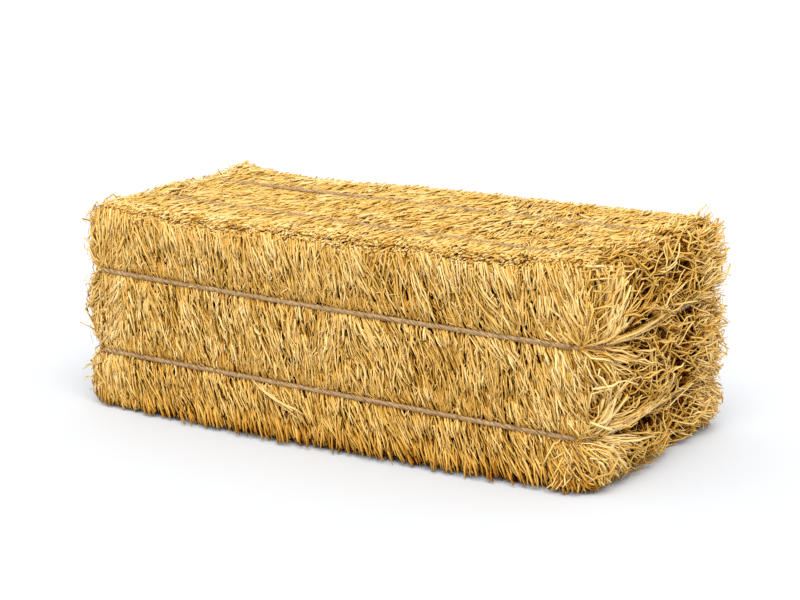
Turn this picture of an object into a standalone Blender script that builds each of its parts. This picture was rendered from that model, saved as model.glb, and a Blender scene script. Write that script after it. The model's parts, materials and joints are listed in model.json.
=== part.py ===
"""A small straw bale: eleven pressed flakes of straw held by four loops of twine.

Frame: metres, +Z up, +X along the bale, the front long face towards -Y and the
origin at the middle of the base, where the bale rests on its flat pads.

A baler packs straw into flakes, slabs that lie across the bale and fall apart
once the twine is cut. Two loops run level round the sides and ends, and two run
upright over the top, the ends and the base. At the ends the upright loops were
tied first, so they lie under the level ones.
"""

import math

import bmesh
import bpy
from mathutils import Vector

# The pressed block
LENGTH = 0.950          # along the top and base; the ends belly out between them
WIDTH = 0.440           # at the ends; the long sides bow out between them
HEIGHT = 0.360
FLAKE_COUNT = 11
GAP = 0.0003            # left between pieces that touch

# How the block is rounded and swollen
EDGE_RADIUS = 0.028
BASE_RADIUS = 0.012     # height of the rounding along the base
# Upright corners, by (end, side): radius where no twine presses, radius where a level twine cuts in
CORNER_RADII = {(-1, -1): (0.020, 0.020), (-1, 1): (0.020, 0.020),
                (1, 1): (0.022, 0.022), (1, -1): (0.036, 0.048)}
END_BELLY = 0.014       # how far each end bellies out at half height
SIDE_BOW = 0.015        # how far each long side bows out at mid length
BOW_LOST_UPWARD = 0.35  # share of that bow which is gone at the top
FLAKE_INSET = 0.0030    # each flake stands back this much at its two faces

# Corners of the top that stand up: (end, side, lift)
LIFTED_CORNERS = ((-1, 1, 0.012), (1, -1, 0.006))
LIFT_REACH = 0.170

# Twine
TWINE_RADIUS = 0.0045
TWINE_RESOLUTION = 2    # a tube of 8 sides
LEVEL_HEIGHTS = {"upper": (0.2442, 0.2275), "lower": (0.1060, 0.0885)}  # z at the left and right end
LEVEL_DROOP = {"upper": 0.0, "lower": 0.0045}                           # lower by this at both ends
UPRIGHT_PLACES = {"front": (-0.085, -0.178), "rear": (0.090, 0.054)}    # y at the left and right end
KNOT_HALF = 0.0125      # half a knot's length, along the twine
KNOT_RADIUS = 0.0088
KNOT_SINK = 0.0035      # how much deeper than its twine a knot is pulled

# Depth of each twine's centre below the face it presses into
SIDE_PRESS = 0.004
END_PRESS = {-1: 0.004, 1: 0.010}
UPRIGHT_END_PRESS = 0.0225
TOP_PRESS = 0.003
BASE_PRESS = 0.0057
VALLEY_HALF = 0.032     # half the width of the valley that a twine presses
PRESS_REACH = 0.055     # how deep into the straw a valley is felt

STRAW_COLOUR = (0.62, 0.42, 0.16, 1.0)
TWINE_COLOUR = (0.42, 0.27, 0.14, 1.0)


# ---------------------------------------------------------------- shape rules

def between(ends, x):
    """A value that runs evenly from the left end of the bale to the right end."""
    share = x / LENGTH + 0.5
    return ends[0] + (ends[1] - ends[0]) * share


def valley(distance):
    """1 along the twine, falling evenly to 0 at the valley's shoulders."""
    return max(1.0 - abs(distance) / VALLEY_HALF, 0.0)


def near_face(value, half):
    """1 on a face, 0 deeper in the straw than a twine's pressure is felt."""
    return min(max((abs(value) - half + PRESS_REACH) / PRESS_REACH, 0.0), 1.0)


def level_height(level, x):
    return between(LEVEL_HEIGHTS[level], x) - LEVEL_DROOP[level] * (2.0 * x / LENGTH) ** 2


def level_valley(x, z):
    return max(valley(z - level_height(level, x)) for level in LEVEL_HEIGHTS)


def upright_valley(x, y):
    return max(valley(y - between(ends, x)) for ends in UPRIGHT_PLACES.values())


def bowed(x, z):
    """How far the long sides stand out at this place."""
    return SIDE_BOW * (1.0 - (2.0 * x / LENGTH) ** 2) * (1.0 - BOW_LOST_UPWARD * z / HEIGHT)


def bellied(z):
    """How far an end stands out at this height."""
    return END_BELLY * max(1.0 - (2.0 * z / HEIGHT - 1.0) ** 2, 0.0)


def lifted(x, y, z):
    """How far the top stands up near its lifted corners."""
    lift = 0.0
    for end, side, height in LIFTED_CORNERS:
        away = math.hypot(x - end * LENGTH / 2, y - side * WIDTH / 2)
        lift += height * max(0.0, 1.0 - away / LIFT_REACH) ** 2
    return lift * z / HEIGHT


def rounded(point):
    """Moves a point of the plain block onto a block with rounded edges and corners."""
    middle = Vector((0.0, 0.0, HEIGHT / 2))
    half = Vector((LENGTH / 2, WIDTH / 2, HEIGHT / 2))
    free, pinched = CORNER_RADII[(1 if point.x > 0 else -1, 1 if point.y > 0 else -1)]
    corner = free + (pinched - free) * level_valley(point.x, point.z)
    side_radius = EDGE_RADIUS + (corner - EDGE_RADIUS) * near_face(point.x, LENGTH / 2)
    radii = Vector((side_radius, side_radius, EDGE_RADIUS if point.z > middle.z else BASE_RADIUS))
    from_middle = point - middle
    over = Vector([max(abs(from_middle[i]) - half[i] + radii[i], 0.0) / radii[i] for i in range(3)])
    if over.length < 1e-9:
        return point.copy()
    kept = max(over) / over.length
    for i in range(3):
        from_middle[i] -= math.copysign(over[i] * (1.0 - kept) * radii[i], from_middle[i])
    return middle + from_middle


def swollen(point):
    """Adds the bow of the long sides and the lift of the top's corners."""
    side = point.y / (WIDTH / 2)
    return Vector((point.x,
                   point.y + bowed(point.x, point.z) * side,
                   point.z + lifted(*point)))


def pressed(block):
    """The skin of the straw: a point of the plain block, rounded, pressed in by the twine and swollen."""
    point = rounded(block)
    end = max(level_valley(block.x, block.z) * END_PRESS[1 if block.x > 0 else -1],
              upright_valley(block.x, block.y) * UPRIGHT_END_PRESS)
    side = level_valley(block.x, block.z) * SIDE_PRESS
    top = upright_valley(block.x, block.y) * TOP_PRESS
    base = upright_valley(block.x, block.y) * BASE_PRESS
    outward = math.copysign(1.0, block.x)
    point.x += outward * (bellied(block.z) - end) * near_face(block.x, LENGTH / 2)
    point.y -= math.copysign(side * near_face(block.y, WIDTH / 2), block.y)
    point.z -= top * near_face(max(block.z - HEIGHT / 2, 0.0), HEIGHT / 2)
    point.z += base * near_face(min(block.z - HEIGHT / 2, 0.0), HEIGHT / 2)
    return swollen(point)


# ---------------------------------------------------------------- collections, materials

def empty_the_scene():
    for scene_object in list(bpy.context.scene.objects):
        bpy.data.objects.remove(scene_object, do_unlink=True)


def new_collection(name):
    collection = bpy.data.collections.new(name)
    bpy.context.scene.collection.children.link(collection)
    return collection


def material(name, colour, roughness):
    made = bpy.data.materials.new(name)
    made.use_nodes = True
    shader = made.node_tree.nodes["Principled BSDF"]
    shader.inputs["Base Color"].default_value = colour
    shader.inputs["Roughness"].default_value = roughness
    shader.inputs["Metallic"].default_value = 0.0
    return made


# ---------------------------------------------------------------- twine

def rounded_ring(left, right, half_b, radii, steps_a, steps_b, corner_steps=3):
    """Points round a rectangle with round corners: its two long runs, two short runs and four arcs."""
    signs = ((1, -1, -90), (1, 1, 0), (-1, 1, 90), (-1, -1, 180))
    corners = [((right if sign_a > 0 else left) - sign_a * radius, sign_b * (half_b - radius), radius, first)
               for (sign_a, sign_b, first), radius in zip(signs, radii)]
    ring = []
    for index, (centre_a, centre_b, radius, first_angle) in enumerate(corners):
        for step in range(corner_steps + 1):
            angle = math.radians(first_angle + 90 * step / corner_steps)
            ring.append((centre_a + radius * math.cos(angle), centre_b + radius * math.sin(angle)))
        next_a, next_b, next_radius, next_first = corners[(index + 1) % 4]
        turn = math.radians(next_first)
        start = ring[-1]
        finish = (next_a + next_radius * math.cos(turn), next_b + next_radius * math.sin(turn))
        steps = steps_b if index % 2 == 0 else steps_a
        for step in range(1, steps):
            share = step / steps
            ring.append(tuple(first + (last - first) * share for first, last in zip(start, finish)))
    return ring


def level_route(level):
    """A loop round the two long sides and the two ends."""
    left, right = (end * (LENGTH / 2 + bellied(level_height(level, end * LENGTH / 2)) - END_PRESS[end])
                   for end in (-1, 1))
    radii = [CORNER_RADII[corner][1] for corner in ((1, -1), (1, 1), (-1, 1), (-1, -1))]
    ring = rounded_ring(left, right, WIDTH / 2 - SIDE_PRESS, radii, steps_a=6, steps_b=1)
    route = []
    for x, y in ring:
        z = level_height(level, x)
        route.append(Vector((x, y + bowed(x, z) * y / (WIDTH / 2), z)))
    return route


def upright_route(places):
    """A loop over the top, down the two ends and along the base."""
    lowest, highest = BASE_PRESS, HEIGHT - TOP_PRESS
    end = LENGTH / 2 - UPRIGHT_END_PRESS
    ring = rounded_ring(-end, end, (highest - lowest) / 2, [EDGE_RADIUS] * 4, steps_a=6, steps_b=4)
    route = []
    for x, rise in ring:
        y = between(places, x)
        z = (lowest + highest) / 2 + rise
        out = math.copysign(bellied(z) * near_face(x, end), x)
        route.append(Vector((x + out, y, z + lifted(x, y, z))))
    return route


def tube_along(route, radius, name):
    """A closed tube along a closed route, as a mesh."""
    curve = bpy.data.curves.new(name, "CURVE")
    curve.dimensions = "3D"
    curve.bevel_depth = radius
    curve.bevel_resolution = TWINE_RESOLUTION
    curve.use_fill_caps = True
    spline = curve.splines.new("POLY")
    spline.points.add(len(route) - 1)
    for spline_point, place in zip(spline.points, route):
        spline_point.co = (*place, 1.0)
    spline.use_cyclic_u = True
    guide = bpy.data.objects.new(name + "_route", curve)
    bpy.context.scene.collection.objects.link(guide)
    evaluated = guide.evaluated_get(bpy.context.evaluated_depsgraph_get())
    mesh = bpy.data.meshes.new_from_object(evaluated)
    bpy.data.objects.remove(guide, do_unlink=True)
    return mesh


def knot_on(place, along, out, swell):
    """A short fat knot on a twine, most of it sunk in the straw."""
    bm = bmesh.new()
    bmesh.ops.create_uvsphere(bm, u_segments=8, v_segments=6, radius=1.0)
    side = along.cross(out)
    centre = place - out * KNOT_SINK
    for vertex in bm.verts:
        length, height, across = vertex.co.z, vertex.co.x, vertex.co.y
        vertex.co = (centre + along * length * (KNOT_HALF + swell)
                     + out * height * (KNOT_RADIUS + swell) + side * across * (KNOT_RADIUS + swell))
    bmesh.ops.recalc_face_normals(bm, faces=bm.faces)
    mesh = bpy.data.meshes.new("knot")
    bm.to_mesh(mesh)
    bm.free()
    return mesh


def add_object(name, mesh, collection):
    made = bpy.data.objects.new(name, mesh)
    collection.objects.link(made)
    return made


def boolean(target, operation, cutter=None, collection=None):
    modifier = target.modifiers.new(operation.title(), "BOOLEAN")
    modifier.operation = operation
    modifier.solver = "EXACT"
    if collection:
        modifier.operand_type = "COLLECTION"
        modifier.collection = collection
    else:
        modifier.object = cutter


def hide_cutter(cutter):
    cutter.hide_render = True
    cutter.display_type = "WIRE"


def knotted_loop(name, route, knot, swell, collection, helpers):
    """A twine loop with its knot, every surface moved out by swell."""
    loop = add_object(name, tube_along(route, TWINE_RADIUS + swell, name), collection)
    knot_piece = add_object(name + "_knot", knot_on(*knot, swell), helpers)
    hide_cutter(knot_piece)
    boolean(loop, "UNION", cutter=knot_piece)
    return loop


def make_twine(bale, grooves, helpers):
    """The four loops, and for each a slightly thicker copy that cuts its groove in the straw."""
    plans = {}
    for level in LEVEL_HEIGHTS:
        x = 0.12 if level == "upper" else -0.06
        z = level_height(level, x)
        place = Vector((x, WIDTH / 2 - SIDE_PRESS + bowed(x, z), z))
        plans["twine_level_" + level] = (level_route(level), (place, Vector((1, 0, 0)), Vector((0, 1, 0))))
    for side, places in UPRIGHT_PLACES.items():
        z = sum(level_height(level, -LENGTH / 2) for level in LEVEL_HEIGHTS) / 2
        place = Vector((UPRIGHT_END_PRESS - LENGTH / 2 - bellied(z), places[0], z))
        knot = (place, Vector((0, 0, 1)), Vector((-1, 0, 0)))
        plans["twine_upright_" + side] = (upright_route(places), knot)
    for name, (route, knot) in plans.items():
        loop = knotted_loop(name, route, knot, 0.0, bale, helpers)
        loop.data.materials.append(material(name, TWINE_COLOUR, 0.85))
        hide_cutter(knotted_loop(name + "_groove", route, knot, GAP, grooves, helpers))


# ---------------------------------------------------------------- flakes

def thinned(cuts, low, high, closest=0.006):
    """Cut places in order, without those that crowd each other or the block's sides."""
    kept = []
    for cut in sorted(cuts):
        if low + closest < cut < high - closest and (not kept or cut - kept[-1] > closest):
            kept.append(cut)
    return kept


def cut_block(bm, axis, cuts):
    """Draws a line of edges round the block at each place along one axis."""
    normal = Vector((0.0, 0.0, 0.0))
    normal[axis] = 1.0
    for cut in cuts:
        everything = bm.verts[:] + bm.edges[:] + bm.faces[:]
        bmesh.ops.bisect_plane(bm, geom=everything, dist=1e-6, plane_co=normal * cut, plane_no=normal)


def valley_cuts(places):
    return [place + step for place in places for step in (-VALLEY_HALF, 0.0, VALLEY_HALF)]


def flake_mesh(left, right, name):
    """One flake: a slab of the plain block, pressed into the bale's shape."""
    middle = (left + right) / 2
    bm = bmesh.new()
    bmesh.ops.create_cube(bm, size=1.0)
    for vertex in bm.verts:
        vertex.co = ((left if vertex.co.x < 0 else right), vertex.co.y * WIDTH, (vertex.co.z + 0.5) * HEIGHT)

    x_cuts = [middle]
    y_cuts = valley_cuts(between(ends, middle) for ends in UPRIGHT_PLACES.values())
    z_cuts = valley_cuts(level_height(level, middle) for level in LEVEL_HEIGHTS)
    y_cuts += [EDGE_RADIUS - WIDTH / 2, WIDTH / 2 - EDGE_RADIUS]
    z_cuts += [BASE_RADIUS, HEIGHT - EDGE_RADIUS]
    x_cuts += [EDGE_RADIUS - LENGTH / 2, LENGTH / 2 - EDGE_RADIUS]
    cut_block(bm, 0, thinned(x_cuts, left, right))
    cut_block(bm, 1, thinned(y_cuts, -WIDTH / 2, WIDTH / 2))
    cut_block(bm, 2, thinned(z_cuts, 0.0, HEIGHT))

    for vertex in bm.verts:
        block = vertex.co.copy()
        vertex.co = pressed(block)
        between_flakes = abs(block.x) < LENGTH / 2 - EDGE_RADIUS
        if between_flakes and min(abs(block.x - left), abs(block.x - right)) < GAP:
            vertex.co.y -= math.copysign(FLAKE_INSET * near_face(block.y, WIDTH / 2), block.y)
            vertex.co.z -= FLAKE_INSET * near_face(max(block.z - HEIGHT / 2, 0.0), HEIGHT / 2)

    bm.normal_update()
    for face_x in (left, right):
        if abs(face_x) < LENGTH / 2 - EDGE_RADIUS:
            flat = [face for face in bm.faces
                    if all(abs(vertex.co.x - face_x) < 1e-5 for vertex in face.verts)]
            bmesh.ops.dissolve_faces(bm, faces=flat)
    mesh = bpy.data.meshes.new(name)
    bm.to_mesh(mesh)
    bm.free()
    return mesh


def make_flakes(bale, grooves):
    pitch = LENGTH / FLAKE_COUNT
    for index in range(FLAKE_COUNT):
        name = f"flake_{index + 1:02d}"
        left = -LENGTH / 2 + index * pitch + (GAP / 2 if index > 0 else 0.0)
        right = -LENGTH / 2 + (index + 1) * pitch - (GAP / 2 if index < FLAKE_COUNT - 1 else 0.0)
        flake = add_object(name, flake_mesh(left, right, name), bale)
        shade = 1.0 + 0.08 * math.sin(2.1 * index)
        colour = (*(channel * shade for channel in STRAW_COLOUR[:3]), 1.0)
        flake.data.materials.append(material(name, colour, 0.75))
        boolean(flake, "DIFFERENCE", collection=grooves)


def main():
    empty_the_scene()
    bale = new_collection("straw_bale")
    grooves = new_collection("twine_grooves")
    helpers = new_collection("knots")
    make_twine(bale, grooves, helpers)
    make_flakes(bale, grooves)


main()
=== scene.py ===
# %% [markdown]
# # A small straw bale
#
# A bale is thousands of dry cereal stems pressed into flakes and tied with twine. Up close
# nothing on it is a smooth surface: what the eye reads as its skin is stems, tips and dark
# gaps. This lesson builds it that way, stem by stem, as mesh. It starts from a plain model
# of the flakes and the twine, which gives every place and size.

# %% Load the plain model
import json
import math

import bpy
import numpy as np
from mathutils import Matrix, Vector
from mathutils.bvhtree import BVHTree
from mathutils.kdtree import KDTree

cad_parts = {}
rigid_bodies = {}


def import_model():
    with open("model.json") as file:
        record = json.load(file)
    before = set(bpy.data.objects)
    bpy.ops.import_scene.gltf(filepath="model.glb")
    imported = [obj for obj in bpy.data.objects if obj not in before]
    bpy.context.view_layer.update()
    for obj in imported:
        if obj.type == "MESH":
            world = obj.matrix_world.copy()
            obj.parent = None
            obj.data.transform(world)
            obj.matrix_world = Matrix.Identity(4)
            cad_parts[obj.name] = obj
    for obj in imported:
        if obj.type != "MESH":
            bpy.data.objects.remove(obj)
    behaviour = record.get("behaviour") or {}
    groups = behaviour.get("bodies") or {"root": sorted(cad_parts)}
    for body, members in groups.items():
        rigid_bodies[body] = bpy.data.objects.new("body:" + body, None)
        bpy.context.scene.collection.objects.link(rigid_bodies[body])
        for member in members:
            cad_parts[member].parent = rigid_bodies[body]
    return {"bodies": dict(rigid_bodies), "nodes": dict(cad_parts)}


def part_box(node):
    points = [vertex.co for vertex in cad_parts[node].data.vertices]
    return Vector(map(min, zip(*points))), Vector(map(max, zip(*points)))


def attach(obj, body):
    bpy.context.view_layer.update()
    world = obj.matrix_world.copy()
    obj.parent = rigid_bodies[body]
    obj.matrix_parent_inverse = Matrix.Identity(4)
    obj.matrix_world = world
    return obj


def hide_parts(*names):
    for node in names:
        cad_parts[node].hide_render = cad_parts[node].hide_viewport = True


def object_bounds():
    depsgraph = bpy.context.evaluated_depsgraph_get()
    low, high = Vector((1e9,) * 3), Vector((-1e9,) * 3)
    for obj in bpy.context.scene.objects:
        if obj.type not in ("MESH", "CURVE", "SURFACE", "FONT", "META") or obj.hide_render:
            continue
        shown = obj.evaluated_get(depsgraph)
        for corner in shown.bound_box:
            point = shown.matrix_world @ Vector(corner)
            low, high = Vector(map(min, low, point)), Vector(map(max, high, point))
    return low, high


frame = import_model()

PLAIN_LOW, PLAIN_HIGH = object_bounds()
FLAKES = sorted(name for name in frame["nodes"] if name.startswith("flake"))
BODY = next(iter(frame["bodies"]))
WIDTH = PLAIN_HIGH.y - PLAIN_LOW.y
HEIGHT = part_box(FLAKES[len(FLAKES) // 2])[1].z
print(f"{len(FLAKES)} flakes, {PLAIN_HIGH.x - PLAIN_LOW.x:.3f} x {WIDTH:.3f} x {HEIGHT:.3f} m")

# %% [markdown]
# ## The camera
#
# A long lens from a little above shows the front, the top and the right end with so little
# perspective that edges stay nearly parallel. The camera looks at a point inside the bale from
# a distance, a compass angle and a height angle, which is easier to think about than x, y, z.

# %% Camera
AIM = Vector((-0.045, 0.084, 0.180))
AZIMUTH, ELEVATION = math.radians(30.97), math.radians(13.41)
DISTANCE = 3.417
LENS, SENSOR = 87.6, 36.0       # mm

backward = Vector((math.sin(AZIMUTH) * math.cos(ELEVATION),
                   -math.cos(AZIMUTH) * math.cos(ELEVATION),
                   math.sin(ELEVATION)))
camera = bpy.data.objects.new("camera", bpy.data.cameras.new("camera"))
camera.data.lens, camera.data.sensor_width = LENS, SENSOR
camera.location = AIM + backward * DISTANCE
camera.rotation_mode = "QUATERNION"
camera.rotation_quaternion = (-backward).to_track_quat("-Z", "Y")
bpy.context.scene.collection.objects.link(camera)
bpy.context.scene.camera = camera
print("camera at", [round(value, 2) for value in camera.location])

# %% [markdown]
# ## Colours and nodes
#
# Colours are easy to name as the hex values a paint program shows, which are sRGB. Blender
# mixes light in linear values, so one function does that step for every colour below.
# Another adds a node with its settings and links, so that a material reads as a list.


# %% Colour and node helpers
def linear(hex_colour):
    """An sRGB colour such as "e8c070" as the linear red, green, blue, alpha that Blender mixes."""
    channels = [int(hex_colour[place:place + 2], 16) / 255 for place in (0, 2, 4)]
    return [c / 12.92 if c <= 0.04045 else ((c + 0.055) / 1.055) ** 2.4 for c in channels] + [1.0]


def add(tree, kind, settings=None, **links):
    """Adds a node. settings are its properties or input values. links are its inputs' sources, by
    the input's name, or by i and its number where names repeat, as on a Mix node."""
    node = tree.nodes.new("ShaderNode" + kind)
    for name, value in (settings or {}).items():
        if name in node.inputs:
            node.inputs[name].default_value = value
        else:
            setattr(node, name, value)
    for name, source in links.items():
        place = int(name[1:]) if name[0] == "i" and name[1:].isdigit() else name.replace("_", " ")
        tree.links.new(source, node.inputs[place])
    return node


def new_material(name):
    """A material, its node tree and its main shader."""
    made = bpy.data.materials.new(name)
    made.use_nodes = True
    return made, made.node_tree, made.node_tree.nodes["Principled BSDF"]


print("straw gold e6bf6c is", [round(value, 3) for value in linear("e6bf6c")], "to Blender")

# %% [markdown]
# ## Where the twine runs
#
# Two loops lie level round the sides, two stand upright over the top. The straw has to know
# where they are, because it is pressed down under them and its ends tuck in below them. So
# their routes come first. Each is a rectangle with round corners, bent to the bale's bow:
# a formula that the straw can ask for a height anywhere, where a drawn curve could not.

# %% Sizes of the bale and its twine
BLOCK, END_WIDTH = 0.950, 0.440             # the bale along its top, before it bows and bellies out
SIDE_BOW, BOW_LOST_UPWARD, END_BELLY = 0.015, 0.35, 0.014
EDGE_RADIUS = 0.028
LIFTED_CORNERS = ((-1, 1, 0.012), (1, -1, 0.006))       # end, side and height of each
LIFT_REACH = 0.170

TWINE_RADIUS = 0.0045
SIDE_PRESS, TOP_PRESS, BASE_PRESS = 0.004, 0.003, 0.0057            # how deep a twine's line lies
END_PRESS, UPRIGHT_END_PRESS = {-1: 0.004, 1: 0.010}, 0.0225        # at the left and right end
PRESS_REACH = 0.055
BITE_RADII = {(-1, -1): 0.020, (-1, 1): 0.020, (1, 1): 0.022, (1, -1): 0.048}   # by end and side
LEVEL = {               # height at the left end and at the right end, and how far it droops
    "twine_level_upper": (0.2442, 0.2275, 0.0),
    "twine_level_lower": (0.1060, 0.0885, 0.0045),
}
UPRIGHT = {             # y at the left end and at the right end
    "twine_upright_front": (-0.085, -0.178),
    "twine_upright_rear": (0.090, 0.054),
}
print(len(LEVEL), "level twines,", len(UPRIGHT), "upright ones,", 2000 * TWINE_RADIUS, "mm thick")


# %% How the bale bends
def between(ends, x):
    """A value that runs evenly from the left end of the bale to the right end."""
    return ends[0] + (ends[1] - ends[0]) * (x / BLOCK + 0.5)


def level_height(name, x):
    """The height of a level twine: even from end to end, or drooping a little towards both."""
    return between(LEVEL[name], x) - LEVEL[name][2] * (2 * x / BLOCK) ** 2


def lifted(x, y, z):
    """How far the top stands up near its lifted corners."""
    lift = 0.0
    for end, side, height in LIFTED_CORNERS:
        away = np.hypot(x - end * BLOCK / 2, y - side * END_WIDTH / 2)
        lift = lift + height * np.maximum(0.0, 1.0 - away / LIFT_REACH) ** 2
    return lift * z / HEIGHT


def bowed(x, z):
    """How far a long side stands out of flat, halfway along most."""
    return SIDE_BOW * (1 - (2 * x / BLOCK) ** 2) * (1 - BOW_LOST_UPWARD * z / HEIGHT)


def bellied(z):
    """How far an end stands out of flat, at half height most."""
    return END_BELLY * np.maximum(1 - (2 * z / HEIGHT - 1) ** 2, 0)


print("halfway up, the sides stand out by", round(1000 * bowed(0, HEIGHT / 2), 1),
      "mm and the ends by", round(1000 * bellied(HEIGHT / 2), 1), "mm")


# %% Twine routes
def rounded_ring(left, right, half_b, radii, spacing):
    """Points a few millimetres apart round a rectangle with round corners."""
    corners = []
    for (sign_a, sign_b, first), radius in zip(((1, -1, -90), (1, 1, 0), (-1, 1, 90), (-1, -1, 180)), radii):
        centre_a = (right if sign_a > 0 else left) - sign_a * radius
        corners.append((centre_a, sign_b * (half_b - radius), radius, first))
    ring = []
    for index, (centre_a, centre_b, radius, first) in enumerate(corners):
        steps = math.ceil(radius * math.pi / 2 / spacing)
        for step in range(steps + 1):
            angle = math.radians(first + 90 * step / steps)
            ring.append((centre_a + radius * math.cos(angle), centre_b + radius * math.sin(angle)))
        next_a, next_b, next_radius, next_first = corners[(index + 1) % 4]
        turn = math.radians(next_first)
        start = ring[-1]
        finish = (next_a + next_radius * math.cos(turn), next_b + next_radius * math.sin(turn))
        steps = math.ceil(math.dist(start, finish) / spacing)
        for step in range(1, steps):
            ring.append(tuple(a + (b - a) * step / steps for a, b in zip(start, finish)))
    return ring


def level_route(name, spacing):
    """The middle line of a level twine."""
    left, right = (end * (BLOCK / 2 + bellied(level_height(name, end * BLOCK / 2)) - END_PRESS[end])
                   for end in (-1, 1))
    radii = [BITE_RADII[corner] for corner in ((1, -1), (1, 1), (-1, 1), (-1, -1))]
    route = []
    for x, y in rounded_ring(left, right, END_WIDTH / 2 - SIDE_PRESS, radii, spacing):
        z = level_height(name, x)
        route.append((x, y + bowed(x, z) * y / (END_WIDTH / 2), z))
    return route


def upright_route(places, spacing):
    """The middle line of an upright twine, whose y at the two ends is given."""
    low, high = BASE_PRESS, HEIGHT - TOP_PRESS
    end = BLOCK / 2 - UPRIGHT_END_PRESS
    route = []
    for x, rise in rounded_ring(-end, end, (high - low) / 2, [EDGE_RADIUS] * 4, spacing):
        y, z = between(places, x), (low + high) / 2 + rise
        near_end = min(max((abs(x) - end + PRESS_REACH) / PRESS_REACH, 0.0), 1.0)
        route.append((x + math.copysign(bellied(z) * near_end, x), y, z + lifted(x, y, z)))
    return route


ROUTE_STEP = 0.004
ROUTES = {name: level_route(name, ROUTE_STEP) for name in LEVEL}
ROUTES |= {name: upright_route(ends, ROUTE_STEP) for name, ends in UPRIGHT.items()}
for name, route in ROUTES.items():
    low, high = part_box(name)
    print(name, len(route), "points; off its plain model by",
          round(1000 * abs(max(p[0] for p in route) + TWINE_RADIUS - high.x), 1), "mm")

# %% [markdown]
# ## Boards to comb straw on
#
# It is easier to comb straw on a flat board than round a box. So every straw is worked out
# on one of ten boards: the bale's six faces, and a strip that bends round each of its four
# upright corners. A place there is two distances u and v, and a height over the board. One
# function turns those into a place in the bale.
#
# Much of a bale changes little by little: more of this near a corner, less of that higher
# up. Three small functions give such a change as a share between 0 and 1.


# %% Shares
def near(distance, reach):
    """1 at no distance, about a third at the reach, and nothing far beyond it."""
    return np.exp(-(distance / reach) ** 2)


def fade_in(value, length):
    """0 up to a value of 0, then evenly up to 1 at the length."""
    return np.clip(value / length, 0, 1)


def fade_out(value, length):
    """1 up to a value of 0, then evenly down to 0 at the length."""
    return np.clip(1 - value / length, 0, 1)


print("near, at the reach:", round(float(near(1.0, 1.0)), 2))

# %% Boards
OUT = {"front": (0, -1, 0), "back": (0, 1, 0), "top": (0, 0, 1), "base": (0, 0, -1),
       "left": (-1, 0, 0), "right": (1, 0, 0)}
CORNERS = {"left_front": (-1, -1), "right_front": (1, -1), "right_back": (1, 1), "left_back": (-1, 1)}
TOP_SAG, SAG_AT, SAG_REACH = 0.006, -0.25, 0.13     # the top sinks a little, left of the middle,
SAG_SLOPE = 0.2                                     # and more towards its back edge


def on_face(face, u, v):
    """The place in the bale of a point u, v of a face, and the way out of the face there.

    On a corner strip u runs from the long side, where it is negative, round to the end."""
    if face in CORNERS:
        end, side = CORNERS[face]
        radius = BITE_RADII[end, side]
        along = np.clip(u / radius, -math.pi / 4, math.pi / 4)
        beyond = u - along * radius
        turn = along + math.pi / 4
        x = BLOCK / 2 - radius * (1 - np.sin(turn)) + np.minimum(beyond, 0) + bellied(v) * np.sin(turn)
        y = END_WIDTH / 2 - radius * (1 - np.cos(turn)) - np.maximum(beyond, 0)
        y = y + bowed(x, v) * np.cos(turn)
        out = np.stack([end * np.sin(turn), side * np.cos(turn), 0 * u], -1)
        return np.stack([end * x, side * y, v], -1), out
    if face in ("front", "back"):
        side = OUT[face][1]
        place = np.stack([u, side * (END_WIDTH / 2 + bowed(u, v)), v], -1)
    elif face == "top":
        sag = TOP_SAG * near(u - SAG_AT, SAG_REACH) * np.clip(0.5 + v / SAG_SLOPE, 0, 1)
        place = np.stack([u, v, HEIGHT + lifted(u, v, HEIGHT) - sag], -1)
    elif face == "base":
        place = np.stack([u, v, 0 * u], -1)
    else:
        place = np.stack([OUT[face][0] * (BLOCK / 2 + bellied(v)), u, v], -1)
    return place, np.zeros_like(place) + np.array(OUT[face], float)


def end_of(face):
    """-1 for the left end and its corners, 1 for the right end and its corners."""
    return CORNERS[face][0] if face in CORNERS else OUT[face][0]


print("boards:", *OUT, *CORNERS)

# %% [markdown]
# ## The skin under the boards
#
# A board is flat where the bale has a valley under each twine and round edges, and straws
# that ignored those would float over them. A search tree over the plain model's faces can
# answer where a straight line meets them. So the lesson feels from each point of a straw
# how far the skin lies below the board, and lets the straw down by most of that.

# %% Skin
DEEPEST = 0.030
CAST_FROM = 0.02        # the line starts this far out of the board

points, polygons = [], []
for name in FLAKES:
    mesh = frame["nodes"][name].data
    polygons += [[len(points) + place for place in polygon.vertices] for polygon in mesh.polygons]
    points += [vertex.co[:] for vertex in mesh.vertices]
SKIN = BVHTree.FromPolygons(points, polygons)


def dip(places, outs):
    """How far below the face the plain skin lies at each point."""
    depths = np.empty(places.shape[:-1])
    for index in np.ndindex(depths.shape):
        out = Vector(outs[index])
        hit = SKIN.ray_cast(Vector(places[index]) + out * CAST_FROM, -out)
        depths[index] = hit[3] - CAST_FROM if hit[0] is not None else DEEPEST
    return np.clip(depths, 0.0, DEEPEST)


middle = np.array([0.0])
valley = dip(*on_face("front", middle, level_height("twine_level_upper", middle)))
print(f"the skin dips {1000 * valley[0]:.1f} mm under the upper twine")

# %% [markdown]
# ## Tufts
#
# Pressed straw isn't evenly combed. Neighbours lean the same way and come from the same
# plants, so they share a colour. Tufts are places scattered over each face, each with its
# own lean, tone and height, and every straw takes them from its nearest tuft. The cells are
# longer along the straws than across, because that is the shape of a bundle.

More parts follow.
